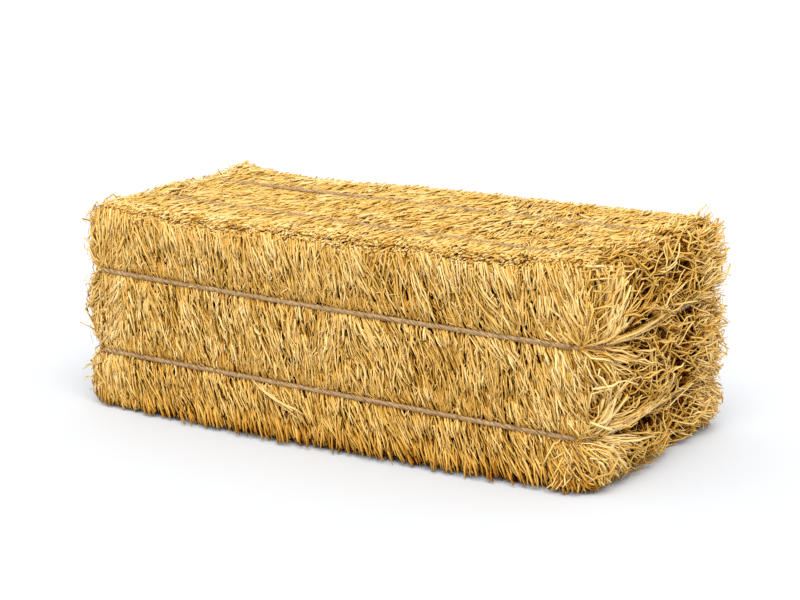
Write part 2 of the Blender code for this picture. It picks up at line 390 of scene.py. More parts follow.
# %% Scatter the tufts
TOP_HALF = 0.232        # half the width that is combed on the top and the base
SIDE_SPAN, TOP_SPAN = (BLOCK / 2, 0.0, HEIGHT), (BLOCK / 2, -TOP_HALF, TOP_HALF)
END_SPAN, CORNER_SPAN = (END_WIDTH / 2, 0.0, HEIGHT), (0.07, 0.0, HEIGHT)
BOARDS = {              # half width in u, lowest and highest v, cell of a tuft in u and v
    "front": (SIDE_SPAN, (0.028, 0.045)), "back": (SIDE_SPAN, (0.028, 0.045)),
    "top": (TOP_SPAN, (0.020, 0.036)), "base": (TOP_SPAN, (0.020, 0.036)),
    "left": (END_SPAN, (0.030, 0.030)), "right": (END_SPAN, (0.030, 0.030)),
} | {corner: (CORNER_SPAN, (0.024, 0.040)) for corner in CORNERS}
TUFT_SEED = 10


def scatter_tufts(seed, face):
    """The tufts of one board: a search tree over their places, and what each gives its straws."""
    rng = np.random.default_rng(seed)
    (half_u, low_v, high_v), (cell_u, cell_v) = BOARDS[face]
    count = int(2 * half_u * (high_v - low_v) / (cell_u * cell_v))
    u, v = rng.uniform(-half_u, half_u, count), rng.uniform(low_v, high_v, count)
    tree = KDTree(count)
    for index in range(count):
        tree.insert((u[index] / cell_u, v[index] / cell_v, 0), index)
    tree.balance()
    return {"tree": tree, "cell": (cell_u, cell_v), "lean": rng.normal(0, 1, count),
            "tone": rng.normal(0, 1, count), "height": rng.normal(0, 1, count),
            "turn": rng.uniform(0, 2 * np.pi, count)}


TUFTS = {face: scatter_tufts(TUFT_SEED + index, face) for index, face in enumerate(BOARDS)}
print({face: len(tufts["lean"]) for face, tufts in TUFTS.items()}, "tufts")


def nearest_tufts(face, u, v):
    """The lean, tone, height and turn of the tuft nearest to each place."""
    tufts = TUFTS[face]
    cell_u, cell_v = tufts["cell"]
    nearest = np.array([tufts["tree"].find((a / cell_u, b / cell_v, 0))[1] for a, b in zip(u, v)], int)
    return {name: tufts[name][nearest] for name in ("lean", "tone", "height", "turn")}


# %% [markdown]
# ## Which way the straws lie
#
# On the long sides they hang like thatch, leaning 20 degrees. Where the twine bites into an
# upright corner it gathers them like a sheaf, and from that bite they fan out again. The
# ends show a flake's open face, where they lie anyhow, but near the bites they fan as well.
# Angles are measured from straight up the face, towards +u, so each rule below is a formula
# for one angle: a lean that drifts, or the direction from a bite to the straw.

# %% Straws of a long side
SIDE_LEAN = math.radians(20)
FAN_END = 1             # the right end's bites are deep, and only there the straws fan out upward
FAN_REACH, LOW_FAN_REACH = 0.075, 0.09      # how far along the side the two bites gather them
FAN_ROOT = 0.03         # the fans spread from a point this far beyond the twine


def twine_heights(end):
    """The heights of the two level twines at an end."""
    return tuple(level_height(name, end * BLOCK / 2) for name in LEVEL)


def side_angles(rng, u, v, tuft, scatter):
    """Straws of a long side: down, but up out of the bite above the upper twine near the right end."""
    upper, lower = twine_heights(FAN_END)
    loose = 0.45 + 0.75 * fade_in(v, 0.30)                  # combed low down, tousled higher up
    lean = SIDE_LEAN + loose * (math.radians(8.5) * tuft["lean"] + rng.normal(0, scatter, len(u)))
    lean = lean + math.radians(8) * (v < lower) - math.radians(2) * (v > upper)
    lean = lean * np.clip((u + BLOCK / 2) / 0.10, 0.2, 1)   # nearly upright at the left end
    gathered = near(BLOCK / 2 - u, FAN_REACH)
    upward = np.arctan2(u - BLOCK / 2 + 0.02, v - upper + 0.02)
    flip = (v > upper) & (rng.random(len(u)) < gathered * 1.2)
    upward = upward * gathered - lean * (1 - gathered) + rng.normal(0, 0.10, len(u))
    angle = np.where(flip, upward, np.pi - lean)
    centre = BLOCK / 2 - LOW_FAN_REACH
    downward = np.arctan2(u - centre, v - lower - FAN_ROOT)
    downward = np.where(downward < 0, downward + 2 * np.pi, downward)
    turned = fade_in(u - centre, LOW_FAN_REACH) * (v < lower)
    return angle * (1 - turned) + downward * turned


print("the bites are at", [np.round(twine_heights(end), 3).tolist() for end in (-1, 1)], "m")


# %% Straws round a corner
ONTO_END = 0.004


def corner_angles(rng, corner, u, v, tuft):
    """Fans above and below the bites, and between them down like the side or out on to the end."""
    upper, lower = twine_heights(end_of(corner))
    angle = np.pi - SIDE_LEAN - math.radians(6) * tuft["lean"]
    angle = np.where(v > upper, np.arctan2(u, v - upper + FAN_ROOT), angle)
    angle = np.where(v < lower, np.pi + np.arctan2(-u, lower + FAN_ROOT - v), angle)
    middle = (upper + lower) / 2 + rng.normal(0, 0.012, len(u))
    fan = np.where(v > middle, np.arctan2(u, v - upper), np.arctan2(u, v - lower))
    onto_end = (u > ONTO_END) & (v > lower) & (v < upper)
    return np.where(onto_end, fan, angle) + rng.normal(0, 0.13, len(u))


print("a corner's straws start to turn on to the end", round(1000 * ONTO_END), "mm past its middle")

# %% Straws of the top and the ends
END_FAN_REACH = 0.13
RIM_FROM, RIM_WIDTH = 0.10, 0.08            # towards the back edge the straws point outward


def across_angles(rng, u, v, tuft):
    """Straws of the top and base: across the bale either way, swaying slowly along it."""
    count = len(u)
    sway = np.sin(7.0 * u + 3.0) * 0.08 + np.sin(17.0 * u + 11.0 * v) * 0.10
    lean = math.radians(8) + sway + math.radians(9) * tuft["lean"] + rng.normal(0, math.radians(8), count)
    return np.where(rng.random(count) < 0.5, lean, lean + np.pi)


def end_angles(rng, u, v, tuft, end):
    """Straws of an end: fans out of the front bites, outward at the back edge, a loose web elsewhere.

    The second result is each fanned straw's distance from its bite, and a metre for the rest."""
    count = len(u)
    upper, lower = twine_heights(end)
    nearer_upper = v > (upper + lower) / 2 + rng.normal(0, 0.015, count)
    du, dv = u + END_WIDTH / 2 + 0.005, v - np.where(nearer_upper, upper, lower)
    away = np.hypot(du, dv)
    fan = np.arctan2(du, dv) + rng.normal(0, 0.24, count)
    web = np.where(rng.random(count) < 0.6, np.pi / 2 + rng.normal(0, 0.55, count), tuft["turn"])
    rim = np.arctan2(0.9, 1.6 * (v / HEIGHT - 0.45)) + rng.normal(0, 0.25, count)
    angle = np.where(rng.random(count) < fade_in(u - RIM_FROM, RIM_WIDTH), rim, web)
    fanned = rng.random(count) < 0.08 + 0.90 * near(away, END_FAN_REACH)
    return np.where(fanned, fan, angle), np.where(fanned, away, 1.0)


print(f"an end's fans reach {100 * END_FAN_REACH:.0f} cm, its outward rim {100 * RIM_WIDTH:.0f} cm")

# %% [markdown]
# ## Puffed ends
#
# Between its twines a bale's end is free to swell, and the straws there spring out in three
# cushions with the twines in the creases. The plain model's ends are only bellied, so the
# straws add the cushions themselves. How far a straw may stand out is capped, face by face.

# %% Puff
PUFF = {-1: (0.012, 0.010, 0.014), 1: (0.011, 0.010, 0.014)}    # above, between, below the twines
PUFF_EDGE = 0.025       # a cushion is full this far from its twine
CORNER_PUFF = {-1: (0.55, 0.02), 1: (0.3, 0.03)}    # its share at u = 0, and the u that fills it
FARTHEST_OUT = {"top": 0.018, "front": 0.022, "back": 0.022, "right_front": 0.033, "left": 0.024}
FARTHEST_ELSEWHERE = 0.036


def puffed(face, u, v):
    """How far the straws of an end swell out between the twines, where nothing holds them."""
    if face not in CORNERS and face not in ("left", "right"):
        return 0 * u
    end = end_of(face)
    upper, lower = twine_heights(end)
    above, middle, below = PUFF[end]
    swell = middle * np.sqrt(np.sin(np.pi * fade_in(v - lower, upper - lower)) + 1e-9)
    swell = swell + above * fade_in(v - upper, PUFF_EDGE) + below * fade_in(lower - v, PUFF_EDGE)
    swell = swell * np.clip(v / 0.035, 0.2, 1)
    if face not in CORNERS:
        return swell
    share, filled = CORNER_PUFF[end]
    return swell * np.clip(share + u / filled, 0, 1)


for height in (0.05, 0.15, 0.30):
    swelling = puffed("right", np.zeros(1), np.full(1, height))
    print(f"{height} m up, the right end swells by {1000 * swelling[0]:.1f} mm")

# %% [markdown]
# ## A heap of stems
#
# Real straws differ in width, roundness, taper and colour, and leaves among them are flat
# and pointed. The script keeps whole heaps of straws as arrays, one row to a straw, because
# working on thousands at once is quick where a loop over single straws is slow. A buried
# part of a straw is painted browner, and so is one at the ground: both are painted shade.

# %% Stems along given lines
VALLEY_DEPTH = 0.0085   # the twines' valleys in the plain skin are no deeper than this on the sides
# Below this height a straw is painted browner, the deeper the more: painted shade
BURIED_FROM, BURIED_REACH = 0.0015, 0.010
GROUND_PAINTED_SHADE, GROUND_REACH = 0.26, 0.042    # how much browner a straw is painted near the ground: painted shade
WIDTH_SPREAD, TONE_SPREAD = 0.20, 0.05
LEAF_DEPTH, LEAF_TAPER = (0.25, 0.45), (0.7, 0.97)      # of the width: leaves are flat and pointed,
STEM_DEPTH, STEM_TAPER = (0.6, 0.95), (0.0, 0.35)       # stems nearly round and blunt


def unit(vectors):
    """Vectors of the same directions, one metre long."""
    return vectors / np.maximum(np.linalg.norm(vectors, axis=-1, keepdims=True), 1e-12)


def stems(rng, face, uu, vv, height, shallow, deep, wide, tone, leafy=0.3, buried_brown=0.46,
          flat=STEM_DEPTH, sunk=None):
    """A heap of stems along lines that are given on a face, as u, v and height per stem and point.

    shallow and deep are the shares of the skin's dip that they follow, in a valley and below it."""
    count = len(uu)
    base, out = on_face(face, uu, vv)
    if sunk is None:
        sunk = dip(base, out)
        sunk = shallow * np.minimum(sunk, VALLEY_DEPTH) + deep * np.maximum(sunk - VALLEY_DEPTH, 0)
    leaf = rng.random(count) < leafy
    width = np.clip(rng.normal(wide, wide * WIDTH_SPREAD, count), wide * 0.4, wide * 1.6)
    own_tone = tone + rng.normal(0, TONE_SPREAD, count) - 0.03 * leaf
    # Buried parts are painted browner: painted shade.
    brown = buried_brown * np.clip((BURIED_FROM - height) / BURIED_REACH, 0, 1.3)
    if face in ("front", "back"):       # near the corners the straws are loose, and their buried parts get less painted shade
        brown = brown * (1 - 0.75 * near(BLOCK / 2 - np.abs(uu), 0.05))
    height = np.minimum(height + puffed(face, uu, vv), FARTHEST_OUT.get(face, FARTHEST_ELSEWHERE))
    path = base + (height - sunk)[..., None] * out
    # Near the ground every straw is painted browner: painted shade.
    brown = brown + GROUND_PAINTED_SHADE * fade_out(path[..., 2], GROUND_REACH) ** 1.3
    return {
        "path": path,
        "out": out,
        "wide": width,
        "swell": np.clip(rng.normal(1, 0.15, uu.shape), 0.6, 1.4),
        "deep": width * np.where(leaf, rng.uniform(*LEAF_DEPTH, count), rng.uniform(*flat, count)),
        "taper": np.where(leaf, rng.uniform(*LEAF_TAPER, count), rng.uniform(*STEM_TAPER, count)),
        "tone": np.clip(own_tone[:, None] + brown, 0.02, 0.93),
        "down": rng.random(count),
    }


# The ground's browning is painted shade.
print(f"the ground browns a straw by up to {GROUND_PAINTED_SHADE} in the lowest {1000 * GROUND_REACH:.0f} mm")

# %% [markdown]
# ## Laying a handful
#
# A straw has a buried root and a tip that stands proud, so each one shades the next and dark
# slits open between them. Where a straw would cross a twine it stops at it or starts below
# it, because the twine pins it there and hides where it passes under.

# %% Lay straws on a face
SIDE_PINS, END_PINS = (-0.0032, -0.0045), (-0.004, -0.008)      # heights of a pinned tip and root
PINS = {"top": (0.0005, -0.0005), "base": (-0.004, -0.006), "left": END_PINS, "right": END_PINS}
PIN_MARGIN = 0.006      # a straw that comes this near a twine is pinned by it
LEAST_RISE = 0.004
SHORTEST = 0.25         # of its length is left of a straw that stops at a twine
CLIMBS = {"free": 0.8, "tip pinned": 3.0, "root pinned": 0.5}   # powers: the higher, the later it rises


def twine_lines(face, u):
    """Where on the face the two twines run, as v for each u."""
    if face in ("top", "base"):
        return [between(ends, u) for ends in UPRIGHT.values()]
    if face in ("front", "back"):
        return [level_height(name, u) for name in LEVEL]
    return [0 * u + height for height in twine_heights(end_of(face))]


def lay(rng, face, u, v, angle, length, root, tip, wide, tone, segments=3, tucked=0.97, bend=0.04,
        kink=0.0005, shallow=0.1, deep=0.9, **look):
    """A heap of straws. u, v is the middle of each; root and tip are heights over the face.

    tucked is the share that the twines pin, bend a straw's sway for its length, and kink how far
    each of its joints strays."""
    count = len(u)
    way_u, way_v = np.sin(angle), np.cos(angle)
    start, stop, climb = np.zeros(count), np.ones(count), np.full(count, CLIMBS["free"])
    first_v = v - way_v * length / 2
    end_depth, start_depth = PINS.get(face, SIDE_PINS)
    for line in twine_lines(face, u):
        rise = way_v * length
        rise = np.where(np.abs(rise) < LEAST_RISE, LEAST_RISE, rise)
        crossing = (line - first_v) / rise
        margin = PIN_MARGIN / np.abs(rise)
        pinned = (crossing > -margin) & (crossing < 1 + margin) & (rng.random(count) < tucked)
        ends_here = pinned & (crossing > 0.5)
        starts_here = pinned & (crossing <= 0.5)
        stop = np.where(ends_here, np.minimum(stop, np.maximum(crossing - margin * 0.5, SHORTEST)), stop)
        start = np.where(starts_here, np.maximum(start, crossing), start)
        tip = np.where(ends_here, np.minimum(tip, end_depth), tip)
        root = np.where(ends_here, np.maximum(root, -0.003), np.where(starts_here, start_depth, root))
        climb = np.where(starts_here, CLIMBS["root pinned"], climb)
        climb = np.where(ends_here, CLIMBS["tip pinned"], climb)
    t = start[:, None] + (stop - start)[:, None] * np.linspace(0, 1, segments + 1)[None, :]
    bow, curl = rng.normal(0, 1, (2, count, 1)) * bend * length[:, None]
    sway = bow * np.sin(np.pi * t) + 0.6 * curl * np.sin(2 * np.pi * t)
    uu = u[:, None] + (t - 0.5) * (length * way_u)[:, None] - sway * way_v[:, None]
    vv = v[:, None] + (t - 0.5) * (length * way_v)[:, None] + sway * way_u[:, None]
    uu, vv = uu + rng.normal(0, kink, uu.shape), vv + rng.normal(0, kink, uu.shape)
    own = (t - start[:, None]) / np.maximum(stop - start, 0.1)[:, None]
    height = root[:, None] + (tip - root)[:, None] * own ** climb[:, None]
    arch = rng.normal(0, 0.35, (count, 1)) * bend * length[:, None]
    height = height + arch * np.sin(np.pi * own)
    return stems(rng, face, uu, vv, height, shallow, deep, wide, tone, **look)


print(f"a twine pins straws that come within {1000 * PIN_MARGIN:.0f} mm of it")

# %% [markdown]
# ## Spreading them evenly
#
# Places picked purely at random clump and leave bald patches. One place to a cell of a grid,
# but anywhere in it, covers a face evenly and still looks natural. Neighbouring rows are
# shifted by half a cell, like bricks.
#
# Pressed straws also stick together in **locks** of a few that lie side by side, like locks
# of hair. A face of single straws looks brushed; locks give it the clumped look of thatch.

# %% Strewn straws and locks
STRANDS, PITCH = 5, 0.0056      # straws to a lock, and how far apart they lie in it


def strewn(rng, face, u_range, v_range, cell):
    """Places spread evenly, one to a cell but anywhere in it, with the tuft each belongs to."""
    columns = max(1, round((u_range[1] - u_range[0]) / cell[0]))
    rows = max(1, round((v_range[1] - v_range[0]) / cell[1]))
    column, row = (part.ravel() for part in np.meshgrid(np.arange(columns), np.arange(rows)))
    across = (column + rng.random(len(column)) * 0.9 + 0.5 * (row % 2)) / columns % 1.0
    u = u_range[0] + (u_range[1] - u_range[0]) * across
    v = v_range[0] + (v_range[1] - v_range[0]) * (row + rng.random(len(row))) / rows
    return u, v, nearest_tufts(face, u, v)


def locks(rng, face, u_range, v_range, cell):
    """Places of locks of parallel straws: u, v, tuft, and each straw's distance from its lock's middle."""
    u, v, tuft = strewn(rng, face, u_range, v_range, cell)
    for name, spread in (("lean", 0.7), ("tone", 0.9), ("height", 0.8)):
        tuft[name] = tuft[name] + rng.normal(0, spread, len(u))
    offset = np.tile((np.arange(STRANDS) - (STRANDS - 1) / 2) * PITCH, len(u))
    offset = offset + rng.normal(0, 0.0007, len(offset))
    tuft = {name: np.repeat(values, STRANDS) for name, values in tuft.items()}
    return np.repeat(u, STRANDS), np.repeat(v, STRANDS), tuft, offset


def fan_out(u, v, angle, offset, shift, length, gather):
    """Moves each straw of a lock to its side and along, with its tip drawn in towards the lock."""
    way_u, way_v = np.sin(angle), np.cos(angle)
    return (u - offset * way_v + shift * way_u, v + offset * way_u + shift * way_v,
            angle + gather * offset / length)


print("a lock is", round(1000 * (STRANDS - 1) * PITCH), "mm wide")

# %% [markdown]
# ## Sheaves, bristles and whiskers
#
# Three kinds of straw break the even coat. A **sheaf** is a handful of long straws that
# leave one place together and spread. **Bristles** are stiff and stick out where a flake was
# cut, which frays the outline. **Whiskers** are thin leaves that curl away. Each kind is a
# formula for its lines, and the same heap of stems follows them.

# %% Sheaves, bristles and whiskers
LOOSE = {"leafy": 0.15}                     # few leaves among loose straws, and less painted shade on those that stick out
LESS_PAINTED_SHADE = {"buried_brown": 0.15}              # and little dust on those that stick out
SHEAF_START, BRISTLE_WIDE, WHISKER_WIDE = 0.004, 0.0028, 0.0022
SHEAF_POINTS, BRISTLE_POINTS, WHISKER_POINTS = 6, 3, 5


def sheaf(rng, face, first, last, count, fan, wide):
    """Long straws that leave one place together and spread: first and last are u, v, height."""
    t = np.linspace(0, 1, SHEAF_POINTS)[None, :, None]
    start = np.array(first) + rng.normal(0, 1, (count, 1, 3)) * np.array([SHEAF_START, SHEAF_START, 0.002])
    stop = np.array(last) + rng.normal(0, 1, (count, 1, 3)) * np.array([fan, fan, 0.004])
    reach = rng.uniform(0.35, 1.05, (count, 1, 1))
    begin = rng.uniform(0.0, 0.25, (count, 1, 1))
    belly = np.sin(np.pi * t) * rng.normal(0, 0.002, (count, 1, 3))
    line = start + (stop - start) * (begin + (reach - begin) * t) + belly
    line = line + rng.normal(0, 0.0010, (count, SHEAF_POINTS, 3))
    line[..., 2] -= 0.006 * (1 - np.sin(np.pi * np.clip(t[..., 0], 0.1, 0.9)))
    return stems(rng, face, line[..., 0], line[..., 1], line[..., 2], shallow=0.35, deep=0.7,
                 wide=wide, tone=0.08, **LOOSE)


def bristles(rng, face, u_range, v_range, count, heading, length):
    """Stiff straws that stick out of a face. heading is the angle on it that they point in."""
    t = np.linspace(0, 1, BRISTLE_POINTS)[None, :]
    u, v = rng.uniform(*u_range, (count, 1)), rng.uniform(*v_range, (count, 1))
    size, slope = rng.uniform(*length, (count, 1)), rng.uniform(0.5, 1.15, (count, 1))
    way = heading + rng.normal(0, 0.45, (count, 1)) + rng.normal(0, 0.15, (count, 1)) * t
    uu = u + size * np.cos(slope) * t * np.sin(way)
    vv = v + size * np.cos(slope) * t * np.cos(way)
    return stems(rng, face, uu, vv, size * np.sin(slope) * t - 0.006, shallow=0.6, deep=0.5,
                 wide=BRISTLE_WIDE, tone=0.05, **LOOSE, **LESS_PAINTED_SHADE)


def whiskers(rng, face, u_range, v_range, height, count, rise, heading):
    """Thin curling straws that stand off a face. heading is an angle on it, or None for any."""
    t = np.linspace(0, 1, WHISKER_POINTS)[None, :]
    u, v = rng.uniform(*u_range, (count, 1)), rng.uniform(*v_range, (count, 1))
    size = rng.uniform(0.02, 0.05, (count, 1))
    if heading is None:
        way = rng.uniform(0, 2 * np.pi, (count, 1))
    else:
        way = heading + rng.normal(0, 0.4, (count, 1))
    way = way + rng.normal(0, 0.7, (count, 1)) * t
    lift = rng.uniform(*rise, (count, 1))
    uu = u + size * t * np.sin(way)
    vv = v + size * t * np.cos(way)
    hh = height + lift * np.sin(t * rng.uniform(1.2, 2.6, (count, 1)))
    return stems(rng, face, uu, vv, hh, shallow=0.35, deep=0.4, wide=WHISKER_WIDE, tone=0.12,
                 leafy=0.5, **LESS_PAINTED_SHADE)


print("loose straws are", 1000 * WHISKER_WIDE, "to", 1000 * BRISTLE_WIDE, "mm wide, sheaves as given")

# %% [markdown]
# ## Stems
#
# At arm's length a stem is a rib of light with a shaded side, so three sides with smooth
# shading are enough, and they keep fifty thousand stems affordable. Stems are slightly
# flattened by the baler's ram. Leaves are flatter and run out to a point. Blender's hair
# could grow them, but only a mesh can be exported and touched as a solid.
#
# Each stem also gets a place on a **swatch card**: across the card the tone runs from cream
# to brown, and down it run the fibres. The card is the UV map, so the material can read tone
# and fibre direction from it. A stem's inner sides are painted browner than its outer side,
# as painted shade, so round the stem its place drifts across the card, from its own tone
# outside to a browner one inside.

# %% Stem arrays
SIDES = 3
SWATCH_WIDTH = 0.02     # how much of the card one stem's girth takes
SWATCH_LENGTH = 0.25    # metres of stem down the whole card
LONGEST_SHARE = 0.9     # of the card's length, for where a stem may start on it
FLANK_PAINTED_SHADE = 0.19       # how much browner a stem's inner sides are painted than its outer side: painted shade


def stem_arrays(straws):
    """Vertices, walls, end caps and both kinds' card places, for a heap of stems."""
    paths = straws["path"]
    count, rings = paths.shape[:2]
    along = unit(np.gradient(paths, axis=1))
    side = unit(np.cross(along, straws["out"]))
    rise = np.cross(side, along)
    straight = np.linspace(0, 1, rings)[None, :]
    taper = 1 - straws["taper"][:, None] * straight ** 1.5
    half_wide, half_deep = ((straws[name][:, None] / 2 * taper * straws.get("swell", 1.0))[..., None, None]
                            for name in ("wide", "deep"))
    angle = (2 * np.pi * np.arange(SIDES) / SIDES + np.pi / 2)[None, None, :, None]
    ring = half_wide * np.cos(angle) * side[:, :, None] + half_deep * np.sin(angle) * rise[:, :, None]
    vertices = (paths[:, :, None] + ring).reshape(-1, 3)

    number = np.arange(count * rings * SIDES).reshape(count, rings, SIDES)
    after = np.roll(number, -1, axis=2)
    walls = np.stack([number[:, :-1], number[:, 1:], after[:, 1:], after[:, :-1]], -1).reshape(-1, 4)
    caps = np.stack([number[:, 0], number[:, -1, ::-1]], 1).reshape(-1, SIDES)

    share = (np.linalg.norm(np.diff(paths, axis=1), axis=2).sum(1) / SWATCH_LENGTH)[:, None]
    down = straws["down"][:, None] * (1 - np.minimum(share, LONGEST_SHARE)) + straight * share
    tone = straws["tone"]                   # one per straw and ring
    # A stem's inner sides are painted browner than its outer one: painted shade.
    shaded = (1 - np.sin(2 * np.pi * np.arange(SIDES + 1) / SIDES + np.pi / 2)) / 1.5
    corner = tone[:, :, None] + SWATCH_WIDTH * (np.arange(SIDES + 1) / SIDES - 0.5) + FLANK_PAINTED_SHADE * shaded
    u = np.stack([corner[:, :-1, :-1], corner[:, 1:, :-1], corner[:, 1:, 1:], corner[:, :-1, 1:]], -1)
    v = np.stack([down[:, :-1], down[:, 1:], down[:, 1:], down[:, :-1]], -1)
    v = np.repeat(v[:, :, None], SIDES, axis=2)
    wall_uv = np.stack([u, v], -1).reshape(-1, 2)
    cap_u = tone[:, [0, -1], None] + SWATCH_WIDTH * np.array([-0.4, 0.0, 0.4])
    cap_v = np.stack([down[:, 0], down[:, -1]], 1)[:, :, None] + np.array([0.0, 0.006, 0.0])[None, None]
    cap_uv = np.stack([cap_u + 0 * cap_v, cap_v + 0 * cap_u], -1).reshape(-1, 2)
    return vertices, walls, caps, wall_uv, cap_uv


for segments in (2, 3, 4):
    print("a stem in", segments, "lengths has", 2 * SIDES * segments + 2, "triangles")


# %% Stem mesh
def stem_mesh(name, heaps, heart):
    """One mesh of many heaps of stems, and of one closed mesh: its vertices, triangles, card places."""
    parts = [stem_arrays(heap) for heap in heaps]
    first = np.cumsum([0] + [len(part[0]) for part in parts])
    vertices = np.concatenate([part[0] for part in parts])
    quads = np.concatenate([part[1] + start for part, start in zip(parts, first)])
    triangles = np.concatenate([part[2] + start for part, start in zip(parts, first)])
    quad_uv = np.concatenate([part[3] for part in parts])
    triangle_uv = np.concatenate([part[4] for part in parts])
    triangles = np.concatenate([triangles, heart[1] + len(vertices)])
    vertices = np.concatenate([vertices, heart[0]])
    triangle_uv = np.concatenate([triangle_uv, heart[2]])
    corners = np.concatenate([quads.ravel(), triangles.ravel()]).astype(np.int32)
    starts = np.concatenate([np.arange(len(quads)) * 4, len(quads) * 4 + np.arange(len(triangles)) * 3])
    mesh = bpy.data.meshes.new(name)
    mesh.vertices.add(len(vertices))
    mesh.vertices.foreach_set("co", vertices.astype(np.float32).ravel())
    mesh.loops.add(len(corners))
    mesh.loops.foreach_set("vertex_index", corners)
    mesh.polygons.add(len(starts))
    mesh.polygons.foreach_set("loop_start", starts.astype(np.int32))
    card = mesh.uv_layers.new(name="OFBake")
    places = np.concatenate([quad_uv, triangle_uv]).clip(0, 1)
    card.uv.foreach_set("vector", places.astype(np.float32).ravel())
    flat = np.zeros(len(starts), bool)
    flat[len(quads):] = True
    mesh.attributes.new("sharp_face", "BOOLEAN", "FACE").data.foreach_set("value", flat)
    mesh.update(calc_edges=True)
    mesh.validate()
    return mesh


print("a card's width holds the girths of", round(1 / SWATCH_WIDTH), "stems side by side")

# %% [markdown]
# ## The matted heart of a flake
#
# Between the outer stems one looks into brown shade. Stems all the way in would cost
# millions of triangles, so behind the outer ones each flake gets a closed body of matted
# straw: a copy of the plain flake drawn in by a centimetre or two, more at the loose ends.
# It is painted dark brown: painted shade.

# %% Matted straw
MAT_DEPTH, MAT_END_DEPTH = 0.015, 0.036
MAT_END_REACH = 0.075   # how far from an end the deeper drawing in starts
MAT_TONE, MAT_TONE_CHANGE = 0.88, 0.018     # a dark tone, painted shade, at one side of a flake, and how much browner at the other
FLAKE_THICK = 0.09


def mat_of(name):
    """The drawn-in copy of a plain flake: vertices, triangles, places on the card."""
    mesh = frame["nodes"][name].data
    points = np.array([vertex.co for vertex in mesh.vertices])
    _, index, inverse = np.unique(points.round(5), axis=0, return_index=True, return_inverse=True)
    inverse = inverse.ravel()
    mesh.calc_loop_triangles()
    triangles = inverse[np.array([tri.vertices for tri in mesh.loop_triangles])]
    points = points[index]
    points[:, 1] *= 1 - MAT_DEPTH / (WIDTH / 2)
    points[:, 2] = HEIGHT / 2 + (points[:, 2] - HEIGHT / 2) * (1 - MAT_DEPTH / (HEIGHT / 2))
    far = np.maximum(np.abs(points[:, 0]) - (BLOCK / 2 - MAT_END_REACH), 0) / MAT_END_REACH
    points[:, 0] -= np.sign(points[:, 0]) * MAT_END_DEPTH * far
    solid = np.all(triangles != np.roll(triangles, 1, axis=1), axis=1)
    triangles = triangles[solid]
    corners = points[triangles]
    u = MAT_TONE + MAT_TONE_CHANGE * (corners[:, :, 0] - points[:, 0].min()) / FLAKE_THICK
    v = 0.05 + 0.9 * (corners[:, :, 1] + corners[:, :, 2]) / (WIDTH + HEIGHT) * 0.5 + 0.4
    return points, triangles, np.stack([u, v], -1).reshape(-1, 2)


print("the heart of", FLAKES[0], "has", len(mat_of(FLAKES[0])[1]), "triangles")

# %% [markdown]
# ## Straw, as a material
#
# Ripe wheat straw is a hollow stem with a thin waxy skin. Dry, it runs from cream through
# gold to brown where it met rain or soil, with fine fibres along it; the card's brown end
# also serves as painted shade on buried and deep straws. A painted texture could hold that,
# but nodes hold it at any size: a colour ramp reads the tone across the swatch card, and a
# stretched noise draws the fibres down it. Between fibres the colour is darker, and also more
# saturated, which is painted shade, and a gamma step does that. The waxy skin gives a faint
# gleam along each stem, which is a plain dielectric at middling roughness.

# %% Straw material
STRAW_TONES = ((0.00, "fde8b4"), (0.12, "f4d696"), (0.28, "e6bf6c"), (0.44, "cfa24e"),
               (0.60, "b07f2f"), (0.76, "8f5603"), (0.90, "653200"), (1.00, "3c1a00"))
STEM_GIRTH, FIBRE_SPACING = 0.0105, 0.0035      # real fibres, 0.1 mm apart, would be too fine to show
FIBRE_RUN, STAIN_RUN = 0.006944, 0.02778        # how much of a stem one fibre and one stain take
FIBRES_ACROSS, FIBRES_DOWN = STEM_GIRTH / FIBRE_SPACING / SWATCH_WIDTH, SWATCH_LENGTH / FIBRE_RUN
STAIN = "a9701f"
PLANT_IOR, FAINT_GLEAM = 1.45, 0.04


